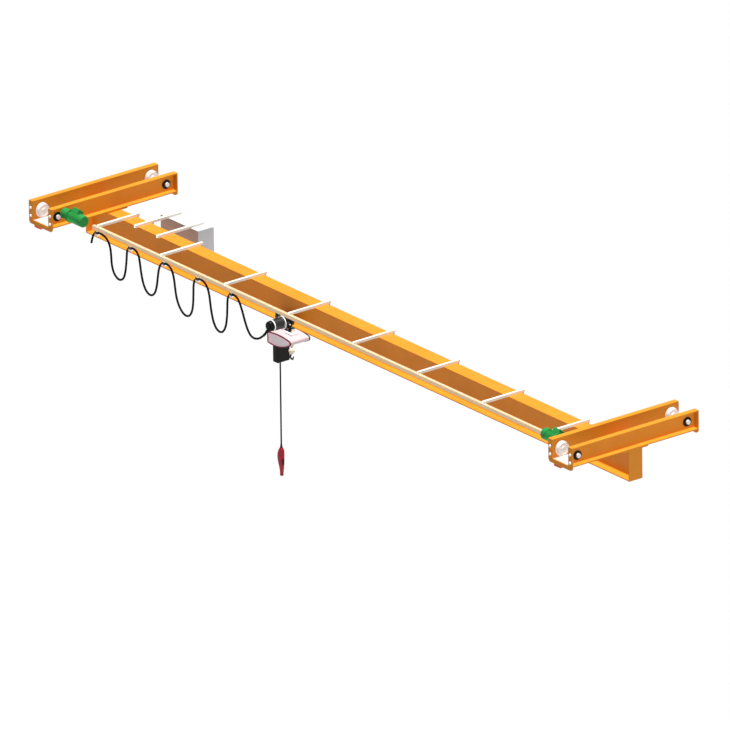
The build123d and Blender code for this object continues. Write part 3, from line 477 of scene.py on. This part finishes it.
def carrier_finish(name, upper, lower, level):
    """Zinc on a carrier's trolley above a level, and black rubber on its clamp below."""
    n = Nodes(name, upper)
    parts = n.add("ShaderNodeSeparateXYZ")
    n.link(n.place, parts.inputs["Vector"])
    above = n.span(parts.outputs["Z"], 0.0, 1.0, level - 0.0005, level + 0.0005)
    patches = n.noise(30.0, 4.0, 0.6)
    light = n.ramp(patches, [(0.3, shade(upper, 0.88)), (0.7, shade(upper, 1.04))])
    dark = n.ramp(patches, [(0.3, shade(lower, 0.8)), (0.7, shade(lower, 1.4))])
    mix = n.add("ShaderNodeMix", data_type="RGBA")
    n.link(above, mix.inputs["Factor"])
    n.link(dark, mix.inputs[MIX_BEFORE])
    n.link(light, mix.inputs[MIX_BEYOND])
    n.link(mix.outputs[MIX_RESULT], n.shader.inputs["Base Color"])
    grain = n.noise(500.0, 2.0, 0.5)
    n.link(n.span(grain, 0.37, 0.57), n.shader.inputs["Roughness"])
    n.link(n.bump(grain, 0.12, 0.0003), n.shader.inputs["Normal"])
    return n.material


def front_painted_light_finish(name, edge, centre):
    """Front cover's colour: a lighter copy of the housing's paint, as painted light on the
    shaded front face, which greys towards the middle of the cover.
    """
    n = Nodes(name, edge)
    mapping = n.add("ShaderNodeMapping")
    mapping.inputs["Location"].default_value = GREYING_SHIFT
    mapping.inputs["Scale"].default_value = GREYING_SCALE
    n.link(n.place, mapping.inputs["Vector"])
    glow = n.add("ShaderNodeTexGradient", gradient_type="SPHERICAL")
    n.link(mapping.outputs["Vector"], glow.inputs["Vector"])
    patches = n.noise(24.0, 4.0, 0.6)
    blend = n.add("ShaderNodeMath", operation="MULTIPLY")
    n.link(glow.outputs["Fac"], blend.inputs[0])
    n.link(n.span(patches, 1.4, 2.2), blend.inputs[1])
    tone = n.ramp(blend.outputs["Value"], [(0.0, edge), (0.75, centre)])
    n.link(tone, n.shader.inputs["Base Color"])
    n.link(n.span(n.noise(60.0), 0.30, 0.44), n.shader.inputs["Roughness"])
    n.link(n.bump(n.noise(420.0, 2.0, 0.5), 0.08, 0.0005), n.shader.inputs["Normal"])
    return n.material


def colour_property(label, words, value):
    """A colour that the user can change."""
    return bpy.props.FloatVectorProperty(
        name=label, description=words, subtype="COLOR", size=3, min=0.0, max=1.0,
        default=value,
    )


class CraneColours(bpy.types.PropertyGroup):
    """Colours of the crane's finishes."""

    yellow: colour_property(
        "Crane yellow", "Paint on the girder and the carriages", (0.68, 0.245, 0.020)
    )
    green: colour_property(
        "Motor green", "Paint on the travel motors", (0.024, 0.25, 0.055)
    )
    arm: colour_property(
        "Arm paint", "Finish of the arms on the girder", (0.86, 0.80, 0.71)
    )
    rail: colour_property(
        "Rail zinc", "Finish of the cable rail", (0.85, 0.62, 0.37)
    )
    panel: colour_property(
        "Panel grey", "Paint on the control panel", (0.53, 0.55, 0.58)
    )
    black: colour_property(
        "Black", "Paint on the trolley and covers", (0.004, 0.004, 0.004)
    )
    jacket: colour_property(
        "Cable jacket", "Rubber of the cables", (0.003, 0.003, 0.003)
    )
    wheel: colour_property(
        "Wheel steel", "Machined wheels", (0.88, 0.85, 0.82)
    )
    plate: colour_property(
        "Zinc plate", "Plated axles and small fasteners", (0.82, 0.81, 0.78)
    )
    hoist: colour_property(
        "Hoist white", "Paint on the hoist's housing", (0.57, 0.47, 0.49)
    )
    # The front cover's two colours are lighter than the housing's paint: painted light on its
    # shaded front face
    front: colour_property(
        "Hoist front", "Edge of the hoist's front cover", (0.98, 0.64, 0.73)
    )
    centre: colour_property(
        "Front centre", "Middle of the hoist's front cover", (0.78, 0.70, 0.72)
    )
    rim: colour_property(
        "Hoist rim", "Paint on the rim of the hoist's front", (0.11, 0.013, 0.026)
    )
    ring: colour_property(
        "Ring white", "Paint on the trolley motor's rings", (0.90, 0.88, 0.87)
    )
    pendant: colour_property(
        "Pendant red", "Plastic of the control pendant", (0.37, 0.009, 0.022)
    )
    recess: colour_property(
        "Recess red", "Plastic round the pendant's buttons", (0.075, 0.003, 0.006)
    )
    pad: colour_property(
        "Pad red", "Rubber of the pads under the carriages", (0.72, 0.10, 0.045)
    )
    cream: colour_property(
        "Block cream", "Paint on the hook block", (0.66, 0.58, 0.44)
    )
    hook: colour_property(
        "Hook steel", "Forged steel of the load hook", (0.03, 0.03, 0.032)
    )
    cast: colour_property(
        "Motor casting", "Cast parts of the trolley", (0.018, 0.018, 0.020)
    )
    plastic: colour_property(
        "Black plastic", "Chain container and glands", (0.012, 0.012, 0.011)
    )
    chain: colour_property(
        "Chain steel", "Links of the load chain", (0.24, 0.24, 0.25)
    )


class CraneSizes(bpy.types.PropertyGroup):
    """Sizes of what the scene adds to the frame."""

    cable: bpy.props.FloatProperty(
        name="Festoon cable", description="Outside diameter of the festoon cable",
        default=0.021, **LENGTH,
    )
    pendant_cable: bpy.props.FloatProperty(
        name="Pendant cable", description="Outside diameter of the pendant's cable",
        default=0.015, **LENGTH,
    )
    distance: bpy.props.FloatProperty(
        name="Camera distance", description="From the camera to the crane",
        default=320.0, **LENGTH,
    )
    width: bpy.props.FloatProperty(
        name="View width", description="Width of the view at the crane",
        default=6.82036, **LENGTH,
    )
    azimuth: bpy.props.FloatProperty(
        name="Azimuth", description="Camera's angle round the crane",
        subtype="ANGLE", default=radians(52.01653),
    )
    elevation: bpy.props.FloatProperty(
        name="Elevation", description="Camera's angle above the horizon",
        subtype="ANGLE", default=radians(21.70381),
    )
    roll: bpy.props.FloatProperty(
        name="Roll", description="Camera's turn about its own axis",
        subtype="ANGLE", default=radians(-0.69161),
    )


# The finishes by name, filled by the first operator
FINISH = {}

# What the frame's own nodes wear, apart from wheels, carriers and loops
WEARS = {
    "yellow": [
        "main_girder", "girder_end_plates", "head_plates", "arm_clamps",
        "left_carriage_channels", "left_carriage_end_plates",
        "right_carriage_channels", "right_carriage_end_plates",
    ],
    "pad": ["end_plate_pads"],
    "zinc": ["carriage_axles"],
    "chain": ["load_chain"],
    "cast": ["trolley_motor", "trolley_axles", "trolley_pins"],
    "black": ["axle_covers", "trolley_plates", "trolley_fan_cover", "hoist_rear_cover"],
    "green": ["travel_motors"],
    "arm": ["outrigger_arms"],
    "rail": ["cable_rail"],
    "panel": ["control_panel"],
    "hoist": ["hoist_body"],
    "front": ["hoist_front_cover"],
    "rim": ["hoist_front_rim"],
    "ring": ["trolley_motor_rings", "suspension_lug"],
    "plastic": ["chain_container", "pendant_gland", "pendant_end_cap"],
    "cream": ["hook_block"],
    "hook": ["load_hook"],
    "pendant": ["control_pendant"],
    "recess": ["pendant_button_plate"],
    "jacket": ["pendant_cable"],
}


class CRANE_OT_finishes(bpy.types.Operator):
    """Makes every finish and puts it on the frame's own pieces"""

    bl_idname = "crane.finishes"
    bl_label = "Finishes"

    def execute(self, context):
        colours = context.scene.crane_colours
        c = {key: tuple(getattr(colours, key)) for key in CraneColours.__annotations__}
        FINISH["yellow"] = paint_finish("crane_yellow", c["yellow"], 0.36)
        FINISH["green"] = paint_finish("motor_green", c["green"], 0.34)
        FINISH["arm"] = paint_finish("arm_cream", c["arm"], 0.42)
        FINISH["rail"] = zinc_finish("rail_zinc", c["rail"])
        FINISH["panel"] = paint_finish("panel_grey", c["panel"], 0.45)
        FINISH["black"] = paint_finish("black_paint", c["black"], 0.40, gloss=0.12)
        FINISH["jacket"] = rubber_finish("cable_jacket", c["jacket"])
        FINISH["wheel"] = steel_finish("wheel_steel", c["wheel"], 0.42, 0.15)
        FINISH["zinc"] = steel_finish("zinc_plate", c["plate"], 0.38, 0.15)
        FINISH["hoist"] = paint_finish("hoist_white", c["hoist"], 0.32, 0.05, 0.3)
        # The front cover wears painted light: a lighter copy of the housing's paint for its
        # shaded face
        FINISH["front"] = front_painted_light_finish("hoist_front", c["front"], c["centre"])
        FINISH["pendant"] = plastic_finish("pendant_red", c["pendant"])
        FINISH["pad"] = rubber_finish("pad_red", c["pad"])
        FINISH["cream"] = paint_finish("block_cream", c["cream"], 0.4)
        FINISH["hook"] = cast_finish("hook_steel", c["hook"], 0.45, 0.6)
        FINISH["cast"] = cast_finish("motor_casting", c["cast"], 0.5, 0.0)
        FINISH["plastic"] = plastic_finish("black_plastic", c["plastic"], 0.5, 0.1)
        FINISH["rim"] = paint_finish("rim_maroon", c["rim"], 0.34, 0.06)
        FINISH["ring"] = paint_finish("ring_white", c["ring"], 0.36, 0.05)
        FINISH["recess"] = plastic_finish("button_recess", c["recess"], 0.45)
        FINISH["chain"] = steel_finish("chain_steel", c["chain"], 0.40, 0.4)
        FINISH["carrier"] = carrier_finish(
            "carrier_steel_and_rubber", c["rail"], c["jacket"], CARRIER_STEM
        )
        for finish, names in WEARS.items():
            for name in names:
                wear(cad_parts[name], FINISH[finish])
        for name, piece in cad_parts.items():
            if "wheel" in name:
                wear(piece, FINISH["cast" if name.startswith("trolley") else "wheel"])
            elif name.startswith("festoon_carrier"):
                wear(piece, FINISH["carrier"])
            elif name.startswith("festoon_loop"):
                wear(piece, FINISH["jacket"])
        return {"FINISHED"}


def route_curve(name, points, bevel):
    """Smooth open spline with the route's points as its control points."""
    curve = bpy.data.curves.new(name, "CURVE")
    curve.dimensions = "3D"
    spline = curve.splines.new("NURBS")
    spline.points.add(len(points) - 1)
    for point, place in zip(spline.points, points):
        point.co = (*place, 1.0)
    spline.order_u = 3
    spline.use_endpoint_u = True
    spline.resolution_u = 12
    curve.bevel_depth = bevel
    curve.bevel_resolution = 5
    curve.use_fill_caps = True
    piece = bpy.data.objects.new(name, curve)
    bpy.context.scene.collection.objects.link(piece)
    return piece


def line_of(points):
    """Points along the smooth line that a route's spline follows."""
    piece = route_curve("route_line", points, 0.0)
    bpy.context.view_layer.update()
    graph = bpy.context.evaluated_depsgraph_get()
    mesh = bpy.data.meshes.new_from_object(piece.evaluated_get(graph))
    line = [tuple(v.co) for v in mesh.vertices]
    bpy.data.meshes.remove(mesh)
    bpy.data.objects.remove(piece)
    return line


def cable_tube(name, points, diameter, material):
    """Mesh tube along a route's smooth line."""
    select_only(route_curve(name, points, diameter / 2))
    bpy.ops.object.convert(target="MESH")
    piece = bpy.context.object
    wear(piece, material)
    bpy.ops.object.shade_smooth_by_angle(angle=radians(40))
    return piece


class CRANE_OT_festoon(bpy.types.Operator):
    """Hangs the festoon cable in its loops, each between its two carriers"""

    bl_idname = "crane.festoon"
    bl_label = "Festoon cable"

    def execute(self, context):
        diameter = context.scene.crane_sizes.cable
        cut = LOOP_5[0][0]
        before = (LOOP_5_END - cut) * CARRIER_5_SHARE / (1 - CARRIER_5_SHARE)
        loops = [
            (in_plane(TAIL_AND_LOOP_1), "bridge", "carrier_2", 0.500, 0.845, -0.3),
            (in_plane(LOOP_2), "carrier_2", "carrier_3", 0.990, 1.335, -0.3),
            (in_plane(LOOP_3), "carrier_3", "carrier_4", 1.500, 1.862, -0.3),
            (in_plane(LOOP_4), "carrier_4", "carrier_5", 2.020, 2.380, -0.3),
            (LOOP_5, "bridge", "trolley", cut - before, LOOP_5_END, -0.4),
        ]
        for number, (points, left, right, start, end, level) in enumerate(loops, 1):
            piece = cable_tube(f"cable_loop_{number}", points, diameter, FINISH["jacket"])
            line = line_of(points)
            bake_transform(piece)
            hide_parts(f"festoon_loop_{number}")
        return {"FINISHED"}


def boot(name, foot, tip, length, place, facing, body):
    """Tapered strain relief with its rings, from its foot towards its tip."""
    step = length / BOOT_RINGS
    piece = start_shape(
        "cylinder", vertices=24, radius=foot, depth=step / 2, location=(0.0, 0.0, step / 4)
    )
    level = step / 2
    radius = foot
    short, tall = step * 0.15, step * 0.35
    for number in range(1, BOOT_RINGS + 1):
        ring = foot + (tip - foot) * number / BOOT_RINGS
        groove = ring * 0.93
        for rise, wanted in ((short, groove), (tall, groove), (short, ring)):
            pick_faces(piece, UP, level)
            pushed_out(rise)
            level += rise
            ratio = wanted / radius
            bpy.ops.transform.resize(
                value=(ratio, ratio, 1.0), center_override=(0.0, 0.0, level)
            )
            radius = wanted
        if number < BOOT_RINGS:
            pick_faces(piece, UP, level)
            pushed_out(tall)
            level += tall
    bpy.ops.object.mode_set(mode="OBJECT")
    return copies_of(
        piece, [(place, facing)], name, body, FINISH["plastic"]
    )


class CRANE_OT_pendant_cable(bpy.types.Operator):
    """Hangs the pendant on its cable, with a strain relief at each end"""

    bl_idname = "crane.pendant_cable"
    bl_label = "Pendant cable"

    def execute(self, context):
        diameter = context.scene.crane_sizes.pendant_cable
        top, foot = PENDANT_LINE[0], PENDANT_LINE[-1]
        upper = boot("hoist_cable_boot", *HOIST_BOOT, top, DOWN, "trolley")
        lower = boot("pendant_cable_boot", *PENDANT_BOOT, foot, UP, "trolley")
        piece = cable_tube("pendant_cable_run", PENDANT_LINE, diameter, FINISH["jacket"])
        line = line_of(PENDANT_LINE)
        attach(piece, "trolley")
        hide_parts("pendant_cable")
        end, before = Vector(LOOP_5[-1]), Vector(LOOP_5[-2])
        away = (before - end).normalized()
        boot("festoon_gland_boot", *GLAND_BOOT, end + away * GLAND_REACH, away, "trolley")
        return {"FINISHED"}


def packed_depth(depth):
    """Where a point of the hanging chain lies while the chain is drawn in.

    The blend moves a point at the share t of the drawn length by t * t * (3 - 2 * t) of
    the drop, so the depth wanted with the hook down is searched by halving.
    """
    drawn = CHAIN_TOP[2] - CHAIN_FOOT[2]
    low, high = 0.0, 1.0
    for _ in range(40):
        t = (low + high) / 2
        reach = drawn * t + HOOK_DROP * t * t * (3 - 2 * t)
        low, high = (t, high) if reach < depth else (low, t)
    return drawn * low


class CRANE_OT_load_chain(bpy.types.Operator):
    """Makes the load chain, its links packed as they lie while the hook is drawn up"""

    bl_idname = "crane.load_chain"
    bl_label = "Load chain"

    def execute(self, context):
        link = start_shape(
            "torus", major_segments=8, minor_segments=5,
            major_radius=LINK_BEND, minor_radius=LINK_WIRE, rotation=(pi / 2, 0.0, 0.0),
        )
        bpy.ops.object.transform_apply(location=True, rotation=True, scale=True)
        for upper in (True, False):
            bpy.ops.object.mode_set(mode="EDIT")
            bpy.ops.mesh.select_mode(type="VERT")
            bpy.ops.mesh.select_all(action="DESELECT")
            bpy.ops.object.mode_set(mode="OBJECT")
            for vertex in link.data.vertices:
                vertex.select = (vertex.co.z > 1e-6) == upper
            bpy.ops.object.mode_set(mode="EDIT")
            way = LINK_HALF_SIDE if upper else -LINK_HALF_SIDE
            bpy.ops.transform.translate(value=(0.0, 0.0, way))
            bpy.ops.object.mode_set(mode="OBJECT")
        hanging = CHAIN_TOP[2] - CHAIN_FOOT[2] + HOOK_DROP
        count = int(hanging / LINK_PITCH)
        made = []
        for number in range(count):
            one = link.copy()
            one.data = link.data.copy()
            context.scene.collection.objects.link(one)
            turn = Matrix.Rotation(pi / 4 + pi / 2 * (number % 2), 4, "Z")
            down = -LINK_PITCH * (number + 0.5)
            one.matrix_world = Matrix.Translation((0.0, 0.0, down)) @ turn
            made.append(one)
        bpy.data.objects.remove(link)
        piece = finished(joined(made), "load_chain_links", None, FINISH["chain"], smooth=60.0)
        for vertex in piece.data.vertices:
            depth = min(max(-vertex.co.z, 0.0), hanging)
            vertex.co.x += CHAIN_TOP[0]
            vertex.co.z = CHAIN_TOP[2] - packed_depth(depth)
        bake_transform(piece)
        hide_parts("load_chain")
        return {"FINISHED"}


class CRANE_OT_hook_latch(bpy.types.Operator):
    """Closes the hook's throat with a sheet latch on its pin"""

    bl_idname = "crane.hook_latch"
    bl_label = "Hook latch"

    def execute(self, context):
        root, tip = Vector(LATCH_ROOT), Vector(LATCH_TIP)
        run = tip - root
        piece = start_shape(
            "cube", size=1.0, location=tuple((root + tip) / 2),
            scale=(run.length, LATCH_WIDTH, LATCH_SHEET),
            rotation=(0.0, asin(-run.z / run.length), 0.0),
        )
        bpy.ops.object.mode_set(mode="EDIT")
        bpy.ops.mesh.select_all(action="SELECT")
        bpy.ops.mesh.subdivide(number_cuts=3)
        bpy.ops.object.mode_set(mode="OBJECT")
        edge_rounded(piece, LATCH_EDGE)
        finished(piece, "hook_latch", "load_hook", FINISH["zinc"])
        pivot = start_shape(
            "cylinder", vertices=16, radius=LATCH_PIN_RADIUS, depth=LATCH_PIN_LENGTH,
            location=tuple(root), rotation=(pi / 2, 0.0, 0.0),
        )
        pick_faces(pivot, FRONT, LATCH_PIN_LENGTH / 2)
        bpy.ops.mesh.bevel(offset=LATCH_PIN_EDGE, segments=2, affect="EDGES")
        bpy.ops.object.mode_set(mode="OBJECT")
        finished(pivot, "latch_pivot", "load_hook", FINISH["zinc"])
        return {"FINISHED"}


class CRANE_OT_girder_fasteners(bpy.types.Operator):
    """Bolts the arms to their clamps, and the rail and the panel to the arms"""

    bl_idname = "crane.girder_fasteners"
    bl_label = "Girder fasteners"

    def execute(self, context):
        held = [(x, y) for x in (*ARMS, *PANEL_ARMS) for y in (-CLAMP_Y, CLAMP_Y)]
        copies_of(
            hex_pattern(*ARM_BOLT), [((x, y, ARM_TOP), UP) for x, y in held],
            "arm_bolts", "bridge", FINISH["arm"],
        )
        copies_of(
            hex_pattern(*CLAMP_NUT), [((x, y, CLAMP_FOOT), DOWN) for x, y in held],
            "clamp_nuts", "bridge", FINISH["yellow"],
        )
        copies_of(
            hex_pattern(*RAIL_BOLT), [((x, CABLE_Y, ARM_TOP), UP) for x in ARMS],
            "rail_bolts", "bridge", FINISH["arm"],
        )
        copies_of(
            hex_pattern(*RAIL_BOLT),
            [((x, y, ARM_TOP), UP) for x in PANEL_ARMS for y in PANEL_BOLT_Y],
            "panel_bolts", "bridge", FINISH["arm"],
        )
        return {"FINISHED"}


class CRANE_OT_carriage_fasteners(bpy.types.Operator):
    """Bolts the end plates to the carriages"""

    bl_idname = "crane.carriage_fasteners"
    bl_label = "Carriage fasteners"

    def execute(self, context):
        legs = [centre + side for centre in CARRIAGES for side in (-LEG_OFFSET, LEG_OFFSET)]
        copies_of(
            hex_pattern(*PLATE_BOLT),
            [
                ((x, facing[1] * PLATE_FACE, z), facing)
                for x in legs for facing in (FRONT, BACK) for z in PLATE_BOLT_Z
            ],
            "end_plate_bolts", "bridge", FINISH["ring"],
        )
        return {"FINISHED"}


class CRANE_OT_motor_fasteners(bpy.types.Operator):
    """Screws the travel motors' flanges and terminal boxes, and the trolley motor's ring"""

    bl_idname = "crane.motor_fasteners"
    bl_label = "Motor fasteners"

    def execute(self, context):
        flange, lids = [], []
        lean = Vector((0.0, sin(BOX_LEAN), cos(BOX_LEAN)))
        across = Vector((0.0, cos(BOX_LEAN), -sin(BOX_LEAN)))
        for hand, face_x, box_x in TRAVEL_MOTORS:
            for wide, high in circle(FLANGE_CIRCLE):
                flange.append(((face_x, MOTOR_Y + wide, MOTOR_Z + high), (-hand, 0.0, 0.0)))
            top = Vector((box_x, MOTOR_Y, MOTOR_Z)) + lean * LID_RISE
            for side in (-LID_HALF_LENGTH, LID_HALF_LENGTH):
                for end in (-LID_HALF_WIDTH, LID_HALF_WIDTH):
                    corner = top + Vector((side, 0.0, 0.0)) + across * end
                    lids.append((tuple(corner), tuple(lean)))
        copies_of(
            hex_pattern(*FLANGE_SCREW), flange,
            "motor_flange_screws", "bridge", FINISH["green"],
        )
        copies_of(
            hex_pattern(*LID_SCREW), lids,
            "terminal_lid_screws", "bridge", FINISH["green"],
        )
        ring = [
            ((TROLLEY_X + wide, RING_FACE, RING_Z + high), FRONT)
            for wide, high in circle(RING_CIRCLE)
        ]
        copies_of(hex_pattern(*RING_SCREW), ring, "ring_screws", "trolley", FINISH["cast"])
        return {"FINISHED"}


class CRANE_OT_trolley_fasteners(bpy.types.Operator):
    """Puts the nuts on the trolley's pins and axles, and the hoist's cover screws"""

    bl_idname = "crane.trolley_fasteners"
    bl_label = "Trolley and hoist fasteners"

    def execute(self, context):
        faces = ((FRONT, -TROLLEY_FACE), (BACK, TROLLEY_FACE))
        copies_of(
            hex_pattern(*PIN_NUT),
            [
                ((TROLLEY_X + x, y, PIN_Z), facing)
                for x in (-PIN_OFFSET, PIN_OFFSET) for facing, y in faces
            ],
            "pin_nuts", "trolley", FINISH["cast"],
        )
        copies_of(
            hex_pattern(*AXLE_SCREW),
            [
                ((TROLLEY_X + x, y + facing[1] * AXLE_END, AXLE_Z), facing)
                for x in (-AXLE_OFFSET, AXLE_OFFSET) for facing, y in faces
            ],
            "axle_screws", "trolley", FINISH["cast"],
        )
        copies_of(
            hex_pattern(*GUIDE_BOLT),
            [((GUIDE_X, y, GUIDE_Z), facing) for facing, y in faces],
            "guide_bolts", "trolley", FINISH["ring"],
        )
        copies_of(
            hex_pattern(*FRONT_SCREW),
            [((x, COVER_FRONT, z), FRONT) for x, z in FRONT_SCREWS],
            "front_cover_screws", "trolley", FINISH["front"],
        )
        copies_of(
            hex_pattern(*REAR_SCREW),
            [((x, COVER_BACK, z), BACK) for x, z in REAR_SCREWS],
            "rear_cover_screws", "trolley", FINISH["zinc"],
        )
        return {"FINISHED"}


class CRANE_OT_saddles(bpy.types.Operator):
    """Puts a saddle under the cable in every carrier, its white partly a painted highlight at
    the cable's crest
    """

    bl_idname = "crane.saddles"
    bl_label = "Cable saddles"

    def execute(self, context):
        for number in range(1, 6):
            low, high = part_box(f"festoon_carrier_{number}")
            x = (low[0] + high[0]) / 2
            piece = start_shape(
                "cylinder", vertices=32, radius=SADDLE_RADIUS, depth=SADDLE_WIDTH,
                location=(x, CABLE_Y, low[2] + 0.002), rotation=(pi / 2, 0.0, 0.0),
            )
            bpy.ops.object.mode_set(mode="EDIT")
            bpy.ops.mesh.select_all(action="SELECT")
            bpy.ops.mesh.bisect(
                plane_co=(x, CABLE_Y, low[2]), plane_no=UP, use_fill=True, clear_outer=True
            )
            bpy.ops.mesh.select_all(action="SELECT")
            bpy.ops.transform.resize(
                value=(1.0, 1.0, SADDLE_FLATTENING), center_override=(x, CABLE_Y, low[2])
            )
            bpy.ops.object.mode_set(mode="OBJECT")
            edge_rounded(piece, SADDLE_EDGE)
            body = "bridge" if number == 1 else f"carrier_{number}"
            # The saddle is a real part; its white stands in partly for the highlight on the
            # cable's crest
            finished(piece, f"cable_saddle_{number}", body, FINISH["ring"])
        return {"FINISHED"}


class CRANE_OT_stage(bpy.types.Operator):
    """Floor, soft light and the camera at the photograph's angle"""

    bl_idname = "crane.stage"
    bl_label = "Stage"

    def execute(self, context):
        s = context.scene.crane_sizes
        turn = (
            Matrix.Rotation(s.azimuth, 4, "Z")
            @ Matrix.Rotation(pi / 2 - s.elevation, 4, "X")
            @ Matrix.Rotation(s.roll, 4, "Z")
        )
        centre = Vector(VIEW_CENTRE)
        back = turn @ Vector((0.0, 0.0, 1.0))
        data = bpy.data.cameras.new("camera")
        camera = bpy.data.objects.new("camera", data)
        context.scene.collection.objects.link(camera)
        camera.matrix_world = Matrix.Translation(centre + back * s.distance) @ turn
        data.sensor_width = SENSOR
        data.lens = SENSOR * s.distance / s.width
        data.clip_start = 10.0
        data.clip_end = 1000.0
        context.scene.camera = camera

        deselect()
        bpy.ops.mesh.primitive_plane_add(size=FLOOR_SIZE, location=FLOOR_PLACE)
        floor = bpy.context.object
        floor.name = "floor"
        material = bpy.data.materials.new("floor_white")
        material.use_nodes = True
        shader = material.node_tree.nodes["Principled BSDF"]
        shader.inputs["Base Color"].default_value = (FLOOR_GREY, FLOOR_GREY, FLOOR_GREY, 1.0)
        shader.inputs["Roughness"].default_value = 0.9
        shader.inputs["Specular IOR Level"].default_value = 0.0
        floor.data.materials.append(material)

        world = bpy.data.worlds.new("studio")
        context.scene.world = world
        world.use_nodes = True
        tree = world.node_tree
        sky = tree.nodes["Background"]
        sky.inputs["Color"].default_value = (1.0, 1.0, 1.0, 1.0)
        sky.inputs["Strength"].default_value = SKY_STRENGTH
        backdrop = tree.nodes.new("ShaderNodeBackground")
        grey = (BACKDROP_GREY, BACKDROP_GREY, BACKDROP_GREY, 1.0)
        backdrop.inputs["Color"].default_value = grey
        seen = tree.nodes.new("ShaderNodeLightPath")
        mix = tree.nodes.new("ShaderNodeMixShader")
        tree.links.new(seen.outputs["Is Camera Ray"], mix.inputs["Fac"])
        tree.links.new(sky.outputs["Background"], mix.inputs[1])
        tree.links.new(backdrop.outputs["Background"], mix.inputs[2])
        tree.links.new(mix.outputs["Shader"], tree.nodes["World Output"].inputs["Surface"])
        for name, direction, strength, spread in LIGHTS:
            light = bpy.data.lights.new(name, "SUN")
            light.energy = strength
            light.angle = radians(spread)
            light.use_shadow = False
            lamp = bpy.data.objects.new(name, light)
            lamp.rotation_euler = Vector(direction).to_track_quat("Z", "Y").to_euler()
            context.scene.collection.objects.link(lamp)
        context.scene.view_settings.view_transform = "Standard"
        return {"FINISHED"}


class CRANE_PT_panel(bpy.types.Panel):
    """Lists the crane's sizes, colours and operators"""

    bl_idname = "CRANE_PT_panel"
    bl_label = "Crane"
    bl_space_type = "VIEW_3D"
    bl_region_type = "UI"
    bl_category = "Crane"

    def draw(self, context):
        column = self.layout.column()
        for group in (context.scene.crane_sizes, context.scene.crane_colours):
            for key in type(group).__annotations__:
                column.prop(group, key)
        for maker in MAKERS:
            column.operator(maker.bl_idname)


MAKERS = [
    CRANE_OT_finishes,
    CRANE_OT_stage,
    CRANE_OT_festoon,
    CRANE_OT_saddles,
    CRANE_OT_pendant_cable,
    CRANE_OT_load_chain,
    CRANE_OT_hook_latch,
    CRANE_OT_girder_fasteners,
    CRANE_OT_carriage_fasteners,
    CRANE_OT_motor_fasteners,
    CRANE_OT_trolley_fasteners,
]
CLASSES = [CraneColours, CraneSizes, *MAKERS, CRANE_PT_panel]


def register():
    for item in CLASSES:
        bpy.utils.register_class(item)
    bpy.types.Scene.crane_colours = bpy.props.PointerProperty(type=CraneColours)
    bpy.types.Scene.crane_sizes = bpy.props.PointerProperty(type=CraneSizes)


def unregister():
    del bpy.types.Scene.crane_sizes
    del bpy.types.Scene.crane_colours
    for item in reversed(CLASSES):
        bpy.utils.unregister_class(item)


def main():
    """Makes every piece in order."""
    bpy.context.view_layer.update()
    register()
    bpy.ops.crane.finishes()
    bpy.ops.crane.stage()
    bpy.ops.crane.festoon()
    bpy.ops.crane.saddles()
    bpy.ops.crane.pendant_cable()
    bpy.ops.crane.load_chain()
    bpy.ops.crane.hook_latch()
    bpy.ops.crane.girder_fasteners()
    bpy.ops.crane.carriage_fasteners()
    bpy.ops.crane.motor_fasteners()
    bpy.ops.crane.trolley_fasteners()


if __name__ == "__main__":
    main()
